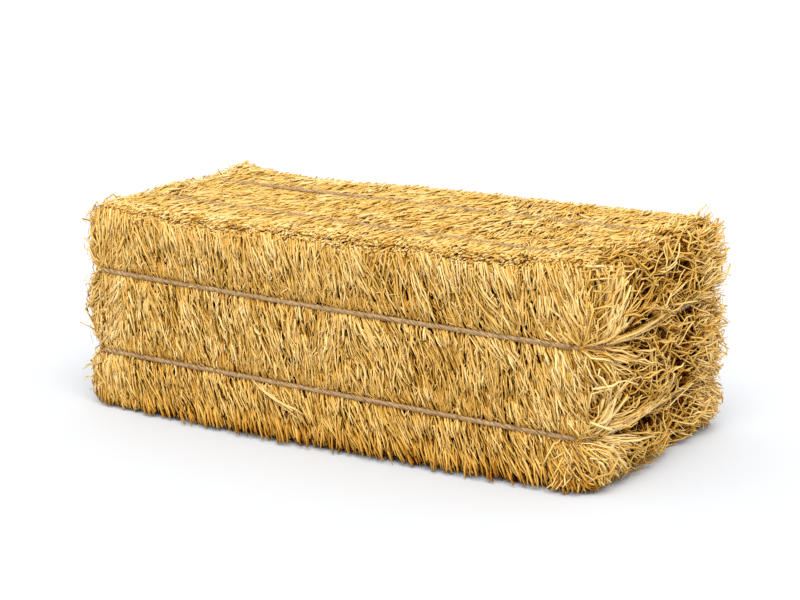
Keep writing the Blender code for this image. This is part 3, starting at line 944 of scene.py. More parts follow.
def straw_material():
    """Dry ripe wheat straw: silky and golden, with fibres along the stem and brown stains."""
    made, tree, shader = new_material("ripe_wheat_straw")
    card = add(tree, "UVMap", {"uv_map": "OFBake"}).outputs["UV"]
    split = add(tree, "SeparateXYZ", Vector=card)
    ramp = add(tree, "ValToRGB", Fac=split.outputs["X"])
    stops = ramp.color_ramp.elements
    while len(stops) < len(STRAW_TONES):
        stops.new(0.5)
    for stop, (place, colour) in zip(stops, STRAW_TONES):
        stop.position, stop.color = place, linear(colour)
    stretched = add(tree, "Mapping", {"Scale": (FIBRES_ACROSS, FIBRES_DOWN, 1.0)}, Vector=card)
    fibre = add(tree, "TexNoise", {"Scale": 1.0, "Detail": 3.0, "Roughness": 0.6},
                Vector=stretched.outputs["Vector"])
    stain = add(tree, "TexNoise", {"Scale": SWATCH_LENGTH / STAIN_RUN, "Detail": 2.0}, Vector=card)
    fibre_shade = add(tree, "MapRange", {"From Min": 0.3, "From Max": 0.7, "To Min": 0.76, "To Max": 1.20},
                      Value=fibre.outputs["Fac"])
    # The darker fibres are also painted more saturated: painted shade.
    fibre_depth = add(tree, "MapRange", {"From Min": 0.3, "From Max": 0.7, "To Min": 1.55, "To Max": 0.82},
                      Value=fibre.outputs["Fac"])
    deepened = add(tree, "Gamma", Color=ramp.outputs["Color"], Gamma=fibre_depth.outputs["Result"])
    stain_shade = add(tree, "MapRange", {"From Min": 0.58, "From Max": 0.75, "To Min": 0.0, "To Max": 0.45},
                      Value=stain.outputs["Fac"])
    shaded = add(tree, "VectorMath", {"operation": "SCALE"}, Vector=deepened.outputs["Color"],
                 Scale=fibre_shade.outputs["Result"])
    stained = add(tree, "Mix", {"data_type": "RGBA", "blend_type": "MIX"}, i0=stain_shade.outputs["Result"],
                  i6=shaded.outputs["Vector"])
    stained.inputs[7].default_value = linear(STAIN)      # the Mix node's second colour
    tree.links.new(stained.outputs[2], shader.inputs["Base Color"])
    gloss = add(tree, "MapRange", {"To Min": 0.42, "To Max": 0.68}, Value=fibre.outputs["Fac"])
    tree.links.new(gloss.outputs["Result"], shader.inputs["Roughness"])
    shader.inputs["IOR"].default_value = PLANT_IOR
    shader.inputs["Specular IOR Level"].default_value = FAINT_GLEAM
    return made


STRAW = straw_material()
print(STRAW.name, "has", round(FIBRES_ACROSS), "x", round(FIBRES_DOWN), "fibres on its card")

# %% [markdown]
# ## The coat of a long side
#
# Four kinds of straw make the front and the back. A short **under layer**, painted darker as
# painted shade, fills every gap between the **locks** that hang over it. **Whole straws** run a
# hand's breadth over the locks, on the front only, where they show. **Chaff**, short bits and
# split leaves, lies on them all. At the ground the lowest tips splay out, ragged and painted
# browner as painted shade.

# %% Kinds of straw on a side
SIDE_STRAWS = {         # cell in u and v, shortest and longest, width, how much they stray in angle
    "lock": ((0.0285, 0.0170), (0.022, 0.048), 0.0044, math.radians(4)),
    "under": ((0.0056, 0.0130), (0.020, 0.044), 0.0040, math.radians(12)),
    "whole": ((0.0200, 0.0450), (0.050, 0.095), 0.0040, math.radians(3)),
    "chaff": ((0.0095, 0.0120), (0.007, 0.020), 0.0023, math.radians(26)),
}
for kind, ((across, upward), *_) in SIDE_STRAWS.items():
    print(kind, round(BLOCK / across) * round(HEIGHT / upward), "places on a side")

# %% Where a side ends, above and below
FRINGE = 0.03           # straws whose tips are lower than this splay out at the ground
LOW_BAND_PAINTED_SHADE, FOOT_PAINTED_SHADE = (0.12, 0.15), (0.14, 0.055)      # how much browner, as painted shade, up to what height


def crease(rng, u):
    """The ragged line where the front's upper ends meet the top."""
    worn = 0.004 + 0.015 * (1 - np.abs(2 * u / BLOCK) ** 5)
    worn = worn + 0.003 * np.sin(23 * u + 1) + 0.002 * np.sin(61 * u)
    return HEIGHT - worn + lifted(u, -END_WIDTH / 2, HEIGHT) + rng.normal(0, 0.0025, len(u))


def fringe(u, lowest):
    """1 for straws whose tips reach the ground, which splay out there, least at the left."""
    return fade_out(lowest, FRINGE) * np.clip((u + 0.46) / 0.14, 0.2, 1)


def low_painted_shade(v):
    """How much browner the lowest part of a side is painted: painted shade near the ground."""
    return LOW_BAND_PAINTED_SHADE[0] * fade_out(v, LOW_BAND_PAINTED_SHADE[1]) + FOOT_PAINTED_SHADE[0] * fade_out(v, FOOT_PAINTED_SHADE[1])


def half_rise(length, angle):
    """Half of how far a straw reaches up and down its face."""
    return length * np.abs(np.cos(angle)) / 2


worn_down = HEIGHT - crease(np.random.default_rng(0), np.zeros(200)).mean()
print(f"halfway along, the crease lies {1000 * worn_down:.0f} mm below the top")

# %% Locks
RAGGED = math.radians(7)    # how far the lowest straws hang steeper, and how unevenly


def side_locks(rng, face, u_range):
    """The outer coat of a long side: locks of straws that hang like thatch."""
    cell, lengths, wide, stray = SIDE_STRAWS["lock"]
    u, v, tuft, offset = locks(rng, face, u_range, (0.0, HEIGHT), cell)
    count = len(u)
    angle = side_angles(rng, u, v, tuft, stray)
    length = rng.uniform(*lengths, count)
    u, v, angle = fan_out(u, v, angle, offset, rng.uniform(-0.014, 0.014, count), length, 0.15)
    reach, highest = half_rise(length, angle), crease(rng, u)
    at_crease = v + reach > highest
    v = np.clip(v, rng.uniform(0.001, 0.011, count) + reach, highest - reach)
    low = v - reach < FRINGE
    angle = angle - RAGGED * low + rng.normal(0, RAGGED, count) * low
    tip = rng.normal(0.0010, 0.0012, count) + 0.0010 * tuft["height"]
    root = np.where(at_crease, tip - 0.003, tip - rng.uniform(0.003, 0.007, count))
    tip = tip + fringe(u, v - reach) * rng.uniform(0.003 + 0.010 * (u > 0.1), 0.024, count)
    gathered = near(BLOCK / 2 - u, 0.05) * (v < 0.25)
    tone = 0.10 + (0.025 + 0.03 * (v < 0.04)) * tuft["tone"] + low_painted_shade(v)
    return lay(rng, face, u, v, angle, length, root, tip, wide, tone,
               deep=(0.3 + 0.7 * gathered)[:, None], bend=0.035, kink=0.0007, tucked=1.0)


print(f"the lowest straws of a side hang {math.degrees(RAGGED):.0f} degrees steeper")


# %% Under layer, whole straws and chaff
def single_straws(rng, face, u_range, v_range, kind):
    """Single straws of a side: their places, tufts, angles, lengths, half rises and width."""
    cell, lengths, wide, stray = SIDE_STRAWS[kind]
    u, v, tuft = strewn(rng, face, u_range, v_range, cell)
    angle = side_angles(rng, u, v, tuft, stray)
    length = rng.uniform(*lengths, len(u))
    return u, v, tuft, angle, length, half_rise(length, angle), wide


def side_under(rng, face, u_range):
    """Shorter straws behind the locks, painted darker: painted shade."""
    u, v, tuft, angle, length, reach, wide = single_straws(rng, face, u_range, (0.0, HEIGHT), "under")
    count = len(u)
    v = np.clip(v, 0.002 + reach, crease(rng, u) - reach)
    tip = rng.uniform(-0.0060, -0.0015, count)
    root = tip - rng.uniform(0.002, 0.005, count)
    tip = tip + fringe(u, v - reach) * rng.uniform(0.000, 0.007, count)
    # Darker than the locks, and darkest at their lowest tips: painted shade.
    tone = 0.16 + 0.03 * tuft["tone"] + low_painted_shade(v) + 0.22 * fade_out(v - reach, 0.02)
    return lay(rng, face, u, v, angle, length, root, tip, wide, tone, segments=2, deep=0.5, tucked=1.0)


def side_whole(rng, face, u_range):
    """A few whole straws that run a hand's breadth over the locks."""
    u, v, tuft, angle, length, reach, wide = single_straws(rng, face, u_range, (0.0, HEIGHT), "whole")
    v = np.clip(v, 0.010 + reach, crease(rng, u) - reach)
    tip = rng.uniform(0.0005, 0.0035, len(u))
    tone = 0.17 + 0.04 * tuft["tone"] + low_painted_shade(v)
    return lay(rng, face, u, v, angle, length, tip - 0.003, tip, wide, tone,
               segments=4, deep=0.3, bend=0.03, kink=0.0007, tucked=1.0)


def side_chaff(rng, face, u_range):
    """Short bits and split leaves that lie on the locks."""
    u, v, _, angle, length, _, wide = single_straws(rng, face, u_range, (0.01, HEIGHT - 0.02), "chaff")
    tip = rng.uniform(0.001, 0.005, len(u))
    tone = 0.12 + 0.08 * rng.normal(0, 1, len(u))
    return lay(rng, face, u, v, angle, length, tip - 0.004, tip, wide, tone,
               segments=2, deep=0.3, bend=0.08, leafy=0.8, tucked=1.0)


print("under layer, whole straws and chaff are ready, beside the locks")

# %% [markdown]
# ## The top and the base
#
# Here the straws lie across the bale, because the baler's ram pushed them in that way. The
# top has two layers, the base, which nobody sees much of, one. Beside the upright twines
# the straws are pressed flat. At the left end they are heaped up a little, and at the
# lifted back corner too. Short straws bridge the rounded edge between the top and a side.

# %% Top and base
ACROSS_CELLS = {"base": (0.0085, 0.0180), "top_under": (0.0065, 0.0150), "top": (0.0056, 0.0125)}
ACROSS_LENGTHS, ACROSS_WIDE = (0.020, 0.050), 0.0038
LEFT_HEAPS = -0.475     # the u of both heaps
PRESSED_REACH, HELD_REACH = 0.016, 0.030        # round a twine straws lie flat, and a heap stays low
IN_FRONT = 0.008        # most of all just in front of it, where they would hide it


def heaped(u, v, before):
    """How far the top's straws are heaped up. before is their distance to the line before a twine."""
    heap = 0.013 * np.exp(-((u - LEFT_HEAPS) / 0.035) ** 2 - ((v + 0.06) / 0.10) ** 2)
    heap = heap * (1 - near(before, HELD_REACH))
    return heap + 0.008 * np.exp(-((u - LEFT_HEAPS) / 0.040) ** 2 - ((v - 0.215) / 0.040) ** 2)


def across_straws(rng, layer, u_range):
    """One layer of straws of the top or the base."""
    face = "base" if layer == "base" else "top"
    u, v, tuft = strewn(rng, face, u_range, (-TOP_HALF, TOP_HALF), ACROSS_CELLS[layer])
    count = len(u)
    angle = across_angles(rng, u, v, tuft)
    near_edge = fade_in(np.abs(v) - 0.18, 0.04)
    length = rng.uniform(*ACROSS_LENGTHS, count) * (1 - 0.5 * near_edge)
    reach = half_rise(length, angle)
    edge = END_WIDTH / 2 + bowed(u, HEIGHT if face == "top" else 0.0) - 0.007 + rng.normal(0, 0.004, count)
    v = np.clip(v, -edge + reach, edge - reach)
    if layer == "base":
        root = rng.uniform(-0.009, -0.004, count)
        tip = rng.uniform(-0.006, -0.002, count)
    elif layer == "top":
        tip = rng.normal(0.0, 0.0012, count) + 0.0008 * tuft["height"]
        root = tip - rng.uniform(0.002, 0.007, count)
    else:
        tip = rng.uniform(-0.009, -0.003, count)
        root = tip - rng.uniform(0.001, 0.005, count)
    if face == "top":
        before = np.min([np.abs(line - IN_FRONT - v) for line in twine_lines(face, u)], axis=0)
        pressed = near(before, PRESSED_REACH)
        tip = tip * (1 - 0.75 * pressed) - 0.0008 * pressed
        heap = heaped(u, v, before)
        root, tip = root + heap, tip + heap
    # The under layer is painted darker: painted shade.
    tone = 0.10 + 0.03 * tuft["tone"] + (0.10 if layer == "top_under" else 0.0)
    sunk = dip(*on_face(face, u, v))[:, None]
    sunk = 0.2 * np.minimum(sunk, VALLEY_DEPTH) + 0.75 * np.maximum(sunk - 0.003, 0)
    return lay(rng, face, u, v, angle, length, root, tip, ACROSS_WIDE, tone, segments=2, tucked=0.85,
               sunk=sunk, buried_brown=0.10 if face == "base" else 0.46)


print("layers of the top and base:", *ACROSS_CELLS)

# %% Straws over the upper edge
CREASE_CELL = (0.0026, 0.100)       # ten rows of them, whose heights are drawn afresh below
CREASE_LENGTHS, CREASE_WIDE = (0.010, 0.026), 0.0034


def crease_straws(rng, face, u_range):
    """Short straws that lie level across the rounded edge between a long side and the top."""
    side = OUT[face][1]
    u, _, _ = strewn(rng, face, u_range, (0.0, 1.0), CREASE_CELL)
    tuft = nearest_tufts("top", u, 0 * u + side * 0.2)
    count = len(u)
    share = rng.uniform(0.001, 1, count)
    depth = share * (HEIGHT + lifted(u, side * END_WIDTH / 2, HEIGHT) - crease(rng, u) + 0.009)
    inward = EDGE_RADIUS - np.sqrt(EDGE_RADIUS ** 2 - (EDGE_RADIUS - np.minimum(depth, EDGE_RADIUS)) ** 2)
    length = rng.uniform(*CREASE_LENGTHS, count)
    outer = END_WIDTH / 2 + bowed(u, HEIGHT) - inward + rng.uniform(-0.004, 0.002, count)
    angle = across_angles(rng, u, side * outer, tuft)
    root, tip = rng.uniform(-0.002, 0.001, count), rng.uniform(0.000, 0.003, count)
    return lay(rng, "top", u, side * (outer - length / 2), angle, length, root, tip, CREASE_WIDE,
               0.08 + 0.05 * tuft["tone"], segments=2, tucked=0.0, sunk=depth[:, None])


print("straws over an upper edge:", 10 * round(BLOCK / CREASE_CELL[0]))

# %% [markdown]
# ## The corners and the ends
#
# An upright corner is wrapped by two layers of straws; the left front one, which makes the
# bale's outline, gets a third, and the buried layer is painted darker as painted shade. An end
# is a flake's open face: not a coat but a loose web of bent straws in three layers, painted deep
# brown, middling and pale from the deepest out, as painted shade, with hollows where straws
# have broken away. The layers are rows of a table, because only their numbers differ.

# %% Corners
# Layer 0, the buried one, has a darker tone: painted shade.
CORNER_LAYERS = (       # cell, tone
    ((0.0070, 0.018), 0.30),
    ((0.0090, 0.022), 0.10),
    ((0.0075, 0.018), 0.10),
)
THREE_LAYERS = "left_front"     # the other corners have two
CORNER_LENGTHS, CORNER_WIDE = (0.030, 0.070), 0.0050


def corner_straws(rng, corner, layer):
    """One layer of straws that wrap an upright corner. Layer 0 is the buried one."""
    cell, tone = CORNER_LAYERS[layer]
    u, v, tuft = strewn(rng, corner, (-0.052, 0.058), (0.0, HEIGHT - 0.006), cell)
    count = len(u)
    angle = corner_angles(rng, corner, u, v, tuft)
    length = rng.uniform(*CORNER_LENGTHS, count)
    reach = half_rise(length, angle)
    v = np.clip(v, 0.003 + reach, HEIGHT - 0.012 - reach + lifted(BLOCK / 2, END_WIDTH / 2, HEIGHT))
    if layer == 0:
        tip = rng.uniform(-0.006, 0.000, count)
        root = tip - rng.uniform(0.002, 0.008, count)
    else:
        tip = rng.uniform(-0.001, 0.006, count) + 0.003 * (end_of(corner) > 0) + 0.002 * tuft["height"]
        tip = tip - 0.006 * fade_in(v + reach - 0.32, 0.03)
        root = tip - rng.uniform(0.006, 0.014, count)
    return lay(rng, corner, u, v, angle, length, root, tip, CORNER_WIDE, tone + 0.06 * tuft["tone"],
               shallow=0.8, deep=0.6, bend=0.05, kink=0.0011, tucked=1.0, buried_brown=0.08)


print("layers on a corner: 2, and", len(CORNER_LAYERS), "on", THREE_LAYERS)

# %% Ends
# The deeper a layer, the browner its tone: painted shade.
END_LAYERS = (          # cell, length, root height, rise of the tip, width, tone, how far below the top
    (0.0098, (0.030, 0.070), (-0.034, -0.022), (-0.004, 0.008), 0.0042, 0.66, 0.024),
    (0.0100, (0.026, 0.062), (-0.024, -0.008), (0.002, 0.018), 0.0036, 0.44, 0.014),
    (0.0130, (0.030, 0.075), (-0.010, 0.002), (0.004, 0.024), 0.0037, 0.22, 0.003),
)
END_HALF = END_WIDTH / 2 - 0.004
POCKETS = 75            # dark hollows in an end, where straws have broken away
POCKET_SEED = 70
PALE_REACH = 0.06       # near the bites and the front edge the straws are as pale as the sheaves
# The left end, turned from the sun, is painted paler: painted light.
LEFT_PAINTED_LIGHT = 0.5


def clear_of_pockets(rng, end, u, v, angle, length):
    """True for straws that cross no pocket, and for a few that bridge one."""
    pocket_rng = np.random.default_rng(POCKET_SEED + end)
    pocket_u = pocket_rng.uniform(-0.17, 0.20, POCKETS)
    pocket_v = pocket_rng.uniform(0.02, HEIGHT, POCKETS)
    size = pocket_rng.uniform(0.004, 0.012, POCKETS)
    reach = length[:, None] * np.array([-0.3, 0.0, 0.3])
    line_u = u[:, None] + np.sin(angle)[:, None] * reach
    line_v = v[:, None] + np.cos(angle)[:, None] * reach
    gap = np.hypot(line_u[..., None] - pocket_u, line_v[..., None] - pocket_v) - size
    return (gap.min(axis=(1, 2)) > 0) | (rng.random(len(u)) < 0.15)


def end_straws(rng, face, layer):
    """One layer of the web of straws on an end. Layer 0 is the deepest."""
    end = end_of(face)
    cell, lengths, roots, rises, wide, tone, below_top = END_LAYERS[layer]
    u, v, tuft = strewn(rng, face, (-END_HALF, END_HALF), (0.0, HEIGHT), (cell, cell))
    angle, away = end_angles(rng, u, v, tuft, end)
    length = rng.uniform(*lengths, len(u))
    outward = np.maximum(length / 2 - away, 0)      # a fanned straw starts at the bite, not before
    u, v = u + np.sin(angle) * outward, v + np.cos(angle) * outward
    if layer > 0:
        kept = clear_of_pockets(rng, end, u, v, angle, length)
        u, v, angle, length, away = u[kept], v[kept], angle[kept], length[kept], away[kept]
        tuft = {name: values[kept] for name, values in tuft.items()}
    count = len(u)
    reach_v, reach_u = half_rise(length, angle), length * np.abs(np.sin(angle)) / 2
    v = np.clip(v, 0.004 + reach_v, HEIGHT - below_top - reach_v)
    over = rng.uniform(0, 0.012, count)
    u = np.clip(u, -END_HALF - over + reach_u, END_HALF + over - reach_u)
    root = rng.uniform(*roots, count) + 0.004 * tuft["height"]
    rim = fade_in(np.abs(u) - 0.12, 0.08) * (u * end > -0.1)
    tip = np.minimum(root + rng.uniform(*rises, count) + 0.012 * rim, 0.030)
    deep = np.where((u < -0.15) & (end > 0), 0.9, 0.35)[:, None]
    paler = 0.6 * near(np.minimum(away, u + END_HALF), PALE_REACH)
    tone = tone * (LEFT_PAINTED_LIGHT if end < 0 else 1.0) * (1 - paler) + 0.07 * tuft["tone"]
    return lay(rng, face, u, v, angle, length, root, tip, wide, tone, segments=3 + (layer > 0),
               shallow=0.9, deep=deep, tucked=0.6, bend=0.10, kink=0.0017, buried_brown=0.25,
               flat=(0.4, 0.85))


print(POCKETS, "pockets and", len(END_LAYERS), "layers on an end")

# %% [markdown]
# ## Where the loose straws are
#
# On the right end sheaves fan out of the twine's bites, and bristles fray every edge that
# stands against the light. Such places are a designer's choice and not a rule, so they
# are rows of three tables. Flake -1 is the last one, at the right end.

# %% Loose straws
SHEAVES = [     # flake, face, from u v height, to u v height, how many, spread, width
    (-1, "right", (-0.205, 0.232, 0.000), (-0.010, 0.228, 0.012), 10, 0.018, 0.0050),
    (-1, "right", (-0.205, 0.226, 0.000), (-0.090, 0.185, 0.012), 6, 0.014, 0.0045),
    (-1, "right", (-0.205, 0.095, 0.000), (-0.026, 0.116, 0.014), 10, 0.012, 0.0050),
    (-1, "right", (-0.205, 0.085, 0.000), (-0.080, 0.050, 0.014), 10, 0.014, 0.0045),
    (-1, "right", (-0.205, 0.080, 0.000), (-0.125, 0.028, 0.012), 14, 0.018, 0.0050),
    (-1, "right_front", (0.005, 0.080, 0.000), (0.055, 0.014, 0.012), 16, 0.012, 0.0055),
    (-1, "right_front", (0.000, 0.080, 0.000), (0.012, 0.008, 0.012), 12, 0.010, 0.0050),
    (-1, "right_front", (-0.010, 0.236, 0.000), (-0.020, 0.335, 0.005), 12, 0.016, 0.0048),
    (-1, "right_front", (0.010, 0.236, 0.000), (0.050, 0.330, 0.010), 14, 0.020, 0.0050),
    (3, "front", (-0.142, 0.092, 0.002), (-0.034, 0.048, 0.004), 18, 0.006, 0.0034),
    (7, "front", (0.158, 0.334, 0.000), (0.196, 0.250, 0.002), 8, 0.005, 0.0040),
]
BRISTLES = [    # flake, face, u range, v range, how many, heading, length
    (-1, "right_back", (-0.03, 0.03), (0.17, 0.355), 200, 0.7, (0.018, 0.044)),
    (-1, "right_back", (-0.03, 0.03), (0.02, 0.17), 140, 2.2, (0.018, 0.044)),
    (-1, "right", (0.12, 0.21), (0.16, 0.35), 120, 0.8, (0.016, 0.034)),
    (-1, "right", (0.12, 0.21), (0.01, 0.16), 90, 2.1, (0.016, 0.034)),
    (-1, "right", (-0.20, -0.05), (0.005, 0.07), 40, 2.4, (0.012, 0.024)),
    (-1, "right", (-0.05, 0.18), (0.004, 0.05), 70, 2.4, (0.018, 0.034)),
    (-1, "right_back", (-0.03, 0.03), (0.040, 0.100), 70, 1.7, (0.030, 0.048)),
    (-1, "right", (0.13, 0.21), (0.03, 0.12), 80, 1.5, (0.020, 0.038)),
    (-1, "right_front", (0.00, 0.05), (0.005, 0.07), 40, 2.5, (0.012, 0.026)),
    (-1, "right_front", (-0.05, 0.03), (0.010, 0.040), 60, 3.0, (0.022, 0.040)),
    (-1, "right_back", (-0.01, 0.02), (0.286, 0.296), 3, 0.8, (0.042, 0.048)),
    (-1, "right_back", (-0.01, 0.02), (0.196, 0.206), 3, 1.4, (0.042, 0.048)),
    (-1, "right_back", (-0.01, 0.02), (0.150, 0.160), 3, 2.2, (0.042, 0.048)),
    (0, "left_front", (0.00, 0.03), (0.245, 0.33), 26, 0.5, (0.016, 0.042)),
    (0, "left_front", (0.00, 0.02), (0.19, 0.238), 24, 2.4, (0.018, 0.042)),
    (0, "left_front", (0.00, 0.03), (0.108, 0.17), 26, 0.9, (0.016, 0.040)),
    (0, "left_front", (0.00, 0.02), (0.03, 0.100), 30, 2.6, (0.020, 0.042)),
    (0, "left", (-0.21, 0.20), (0.02, 0.34), 160, 1.2, (0.014, 0.034)),
    (0, "left_back", (-0.03, 0.03), (0.02, 0.35), 120, 1.2, (0.014, 0.034)),
    (0, "top", (-0.480, -0.430), (-0.210, 0.210), 170, -1.4, (0.010, 0.026)),
    (-1, "top", (0.430, 0.475), (-0.100, 0.210), 110, 0.9, (0.010, 0.022)),
    (8, "top", (0.316, 0.319), (0.206, 0.209), 2, -1.2, (0.024, 0.027)),
]
WHISKERS = [    # flake, face, u range, v range, height, how many, rise, heading
    (0, "left_front", (0.00, 0.03), (0.20, 0.34), 0.004, 10, (0.008, 0.020), 0.4),
    (-1, "right_back", (0.00, 0.03), (0.03, 0.34), 0.004, 12, (0.006, 0.024), None),
]
print(len(SHEAVES), "sheaves,", len(BRISTLES), "places with bristles,", len(WHISKERS), "with whiskers")

# %% [markdown]
# ## Build the flakes
#
# Every flake gets its own seed, so a change to one leaves the others as they are. Its heaps
# and its matted heart become one mesh, because they are one thing: a flake of straw.

# %% The straws of one flake
STRAW_SEED = 100
LEFT_INSET, RIGHT_INSET = 0.008, 0.010      # the sides' coat stops short of the corners
TOP_FROM, TOP_TO = -0.481, 0.476            # the top's coat runs nearly to the ends
GROUND_GAP = 0.003                          # no stem's middle line lies lower than this


def heaps_of(number, name):
    """Every heap of straws of a flake."""
    rng = np.random.default_rng(STRAW_SEED + number)
    low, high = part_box(name)
    span = (max(low.x, LEFT_INSET - BLOCK / 2), min(high.x, BLOCK / 2 - RIGHT_INSET))
    heaps = [across_straws(rng, "base", span)]
    for layer in ("top_under", "top"):
        heaps.append(across_straws(rng, layer, (max(low.x, TOP_FROM), min(high.x, TOP_TO))))
    for face in ("front", "back"):
        heaps += [recipe(rng, face, span) for recipe in (side_under, side_locks, side_chaff, crease_straws)]
    heaps.append(side_whole(rng, "front", span))
    for face, flake in (("left", FLAKES[0]), ("right", FLAKES[-1])):
        if name != flake:
            continue
        heaps += [end_straws(rng, face, layer) for layer in range(len(END_LAYERS))]
        for corner in CORNERS:
            if end_of(corner) == end_of(face):
                layers = len(CORNER_LAYERS) if corner == THREE_LAYERS else 2
                heaps += [corner_straws(rng, corner, layer) for layer in range(layers)]
    for recipe, rows in ((sheaf, SHEAVES), (bristles, BRISTLES), (whiskers, WHISKERS)):
        heaps += [recipe(rng, *row[1:]) for row in rows if FLAKES[row[0]] == name]
    for heap in heaps:
        heap["path"][..., 2] = np.maximum(heap["path"][..., 2], GROUND_GAP)
    return heaps


print("flakes from", FLAKES[0], "to", FLAKES[-1], "take seeds from", STRAW_SEED)

# %% Build each flake
total = 0
for number, name in enumerate(FLAKES):
    heaps = heaps_of(number, name)
    piece = bpy.data.objects.new(name + "_straw", stem_mesh(name + "_straw", heaps, mat_of(name)))
    bpy.context.scene.collection.objects.link(piece)
    piece.data.materials.append(STRAW)
    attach(piece, BODY)
    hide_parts(name)
    triangles = sum(len(polygon.vertices) - 2 for polygon in piece.data.polygons)
    total += triangles
    print(name, sum(len(heap["path"]) for heap in heaps), "straws,", triangles, "triangles")
print("straw triangles in all:", total)

# %% [markdown]
# ## Twine
#
# Baling twine of this look is spun from sisal or jute: long hard fibres laid up in yarns with
# a gentle twist. Six shallow ridges wind round it, one turn in 52 mm. A curve with a round
# bevel would be a smooth hose, so the ridged tube is worked out ring by ring. Each loop is
# closed by a knot: one end is wound three times round the other, and both are cut a finger's
# width on. Cut ends fray, and short hairs stand off all along.

# %% Laid tube
RIDGES = 6
LAY = 0.052             # length of one whole turn
RIDGE_TOP, RIDGE_FOOT = 1.03, 0.76          # of the radius
TWINE_STEP = 0.003
CARD_REPEAT = 32        # rings before the pattern on the card turns back


def fold(values, period):
    """Runs up from 0 to 1 and back down again, one way in each period."""
    return np.abs((values / period + 1) % 2 - 1)


def laid_tube(centre, across, radius, closed):
    """Vertices, faces and card places of a ridged, twisted tube. across is never along the line."""
    rings, columns = len(centre), 2 * RIDGES
    step = np.roll(centre, -1, 0) - np.roll(centre, 1, 0) if closed else np.gradient(centre, axis=0)
    along = unit(step)
    out = unit(np.cross(along, np.array(across, float)))
    up = np.cross(out, along)
    turns = np.linalg.norm(np.diff(centre, axis=0), axis=1).sum() / LAY
    turns = round(turns) if closed else turns
    angle = 2 * np.pi * (np.arange(columns)[None] / columns - turns * np.arange(rings)[:, None] / rings)
    rng = np.random.default_rng(rings)
    ridged = radius * np.where(np.arange(columns) % 2 == 0, RIDGE_TOP, RIDGE_FOOT)[None]
    ridged = ridged * (1 + rng.normal(0, 0.02, (rings, columns)))
    vertices = centre[:, None] + ridged[..., None] * (
        np.cos(angle)[..., None] * out[:, None] + np.sin(angle)[..., None] * up[:, None])
    number = np.arange(rings * columns).reshape(rings, columns)
    ahead, beside = np.roll(number, -1, 0), np.roll(number, -1, 1)
    walls = np.stack([number, ahead, np.roll(ahead, -1, 1), beside], -1)
    ring_number, column_number = np.meshgrid(np.arange(rings), np.arange(columns), indexing="ij")
    u = np.stack([fold(column_number + extra, RIDGES) for extra in (0, 0, 1, 1)], -1)
    v = np.stack([fold(ring_number + extra, CARD_REPEAT) for extra in (0, 1, 1, 0)], -1)
    last = rings if closed else rings - 1
    faces = walls[:last].reshape(-1, 4).tolist()
    places = np.stack([u[:last], v[:last]], -1).reshape(-1, 2)
    if not closed:
        faces += [number[0].tolist(), number[-1, ::-1].tolist()]
        places = np.concatenate([places, np.full((2 * columns, 2), 0.5)])
    return vertices.reshape(-1, 3), faces, places


print("a ring of twine has", 2 * RIDGES, "corners, and a turn takes", round(LAY / TWINE_STEP), "rings")

# %% Hairs and knots
HAIR_THICK, HAIR_LENGTHS, FRAY_LENGTHS = 0.0006, (0.003, 0.008), (0.005, 0.012)
HAIRS, FRAYED = 260, 16     # to a loop, and to a cut end
KNOT_TURNS, KNOT_HALF, TAIL = 3, 0.0095, 0.026
KNOT_REACH = 1.72 * TWINE_RADIUS            # from the middle of the one end to that of the other
COIL_RADIUS, TAIL_RADIUS = 0.80 * TWINE_RADIUS, 0.72 * TWINE_RADIUS     # an end is squeezed in a knot


def hairs(rng, starts, ways, length):
    """Thin fibres from given points: vertices, faces and card places."""
    count = len(starts)
    size = rng.uniform(*length, (count, 1, 1))
    t = np.linspace(0, 1, 3)[None, :, None]
    bend = rng.normal(0, 0.25, (count, 1, 3)) * t ** 2
    paths = starts[:, None] + size * (t * ways[:, None] + bend)
    vertices, walls, caps, wall_uv, cap_uv = stem_arrays({
        "path": paths, "out": unit(np.cross(ways, rng.normal(0, 1, (count, 3))))[:, None],
        "wide": np.full(count, HAIR_THICK), "deep": np.full(count, HAIR_THICK), "taper": np.full(count, 0.6),
        "tone": np.repeat(rng.uniform(0.2, 0.8, (count, 1)), 3, 1), "down": rng.random(count)})
    return vertices, walls.tolist() + caps.tolist(), np.concatenate([wall_uv, cap_uv])


def knot(rng, route, place, out):
    """The parts of a knot beside a given place: a coil round the twine, two tails, their frayed ends."""
    nearest = int(np.argmin(np.linalg.norm(route - np.array(place), axis=1)))
    middle, along = route[nearest], unit(route[(nearest + 2) % len(route)] - route[nearest - 2])
    out = np.array(out, float)
    side = np.cross(along, out)
    t = np.linspace(0, 1, 44)[:, None]
    turn = 2 * np.pi * (KNOT_TURNS + 0.25) * t
    coil = middle + along * KNOT_HALF * (2 * t - 1) + KNOT_REACH * (np.cos(turn) * out + np.sin(turn) * side)
    parts = [laid_tube(coil, along, COIL_RADIUS, False)]
    for way, first in ((1, coil[-1]), (0.6, middle + 0.8 * KNOT_REACH * out + along * KNOT_HALF * 0.6)):
        t = np.linspace(0, 1, 10)[:, None]
        tail = first + TAIL * way * (0.85 * t * along + (0.25 * t - 0.15 * t ** 2) * out)
        tail = tail + TAIL * way * (0.5 * (1.6 - way) * t ** 1.5) * side * (1 if way < 1 else -1)
        parts.append(laid_tube(tail, side, TAIL_RADIUS, False))
        ways = unit(tail[-1] - tail[-3]) + rng.normal(0, 0.30, (FRAYED, 3))
        starts = tail[-1] + rng.normal(0, 0.0012, (FRAYED, 3))
        parts.append(hairs(rng, starts, unit(ways), FRAY_LENGTHS))
    return parts


print("a knot is", 2000 * KNOT_HALF, "mm long, and its tails are up to", 1000 * TAIL, "mm")

# %% A loop of twine
LOWEST = 0.0005         # nothing of a loop is lower than this


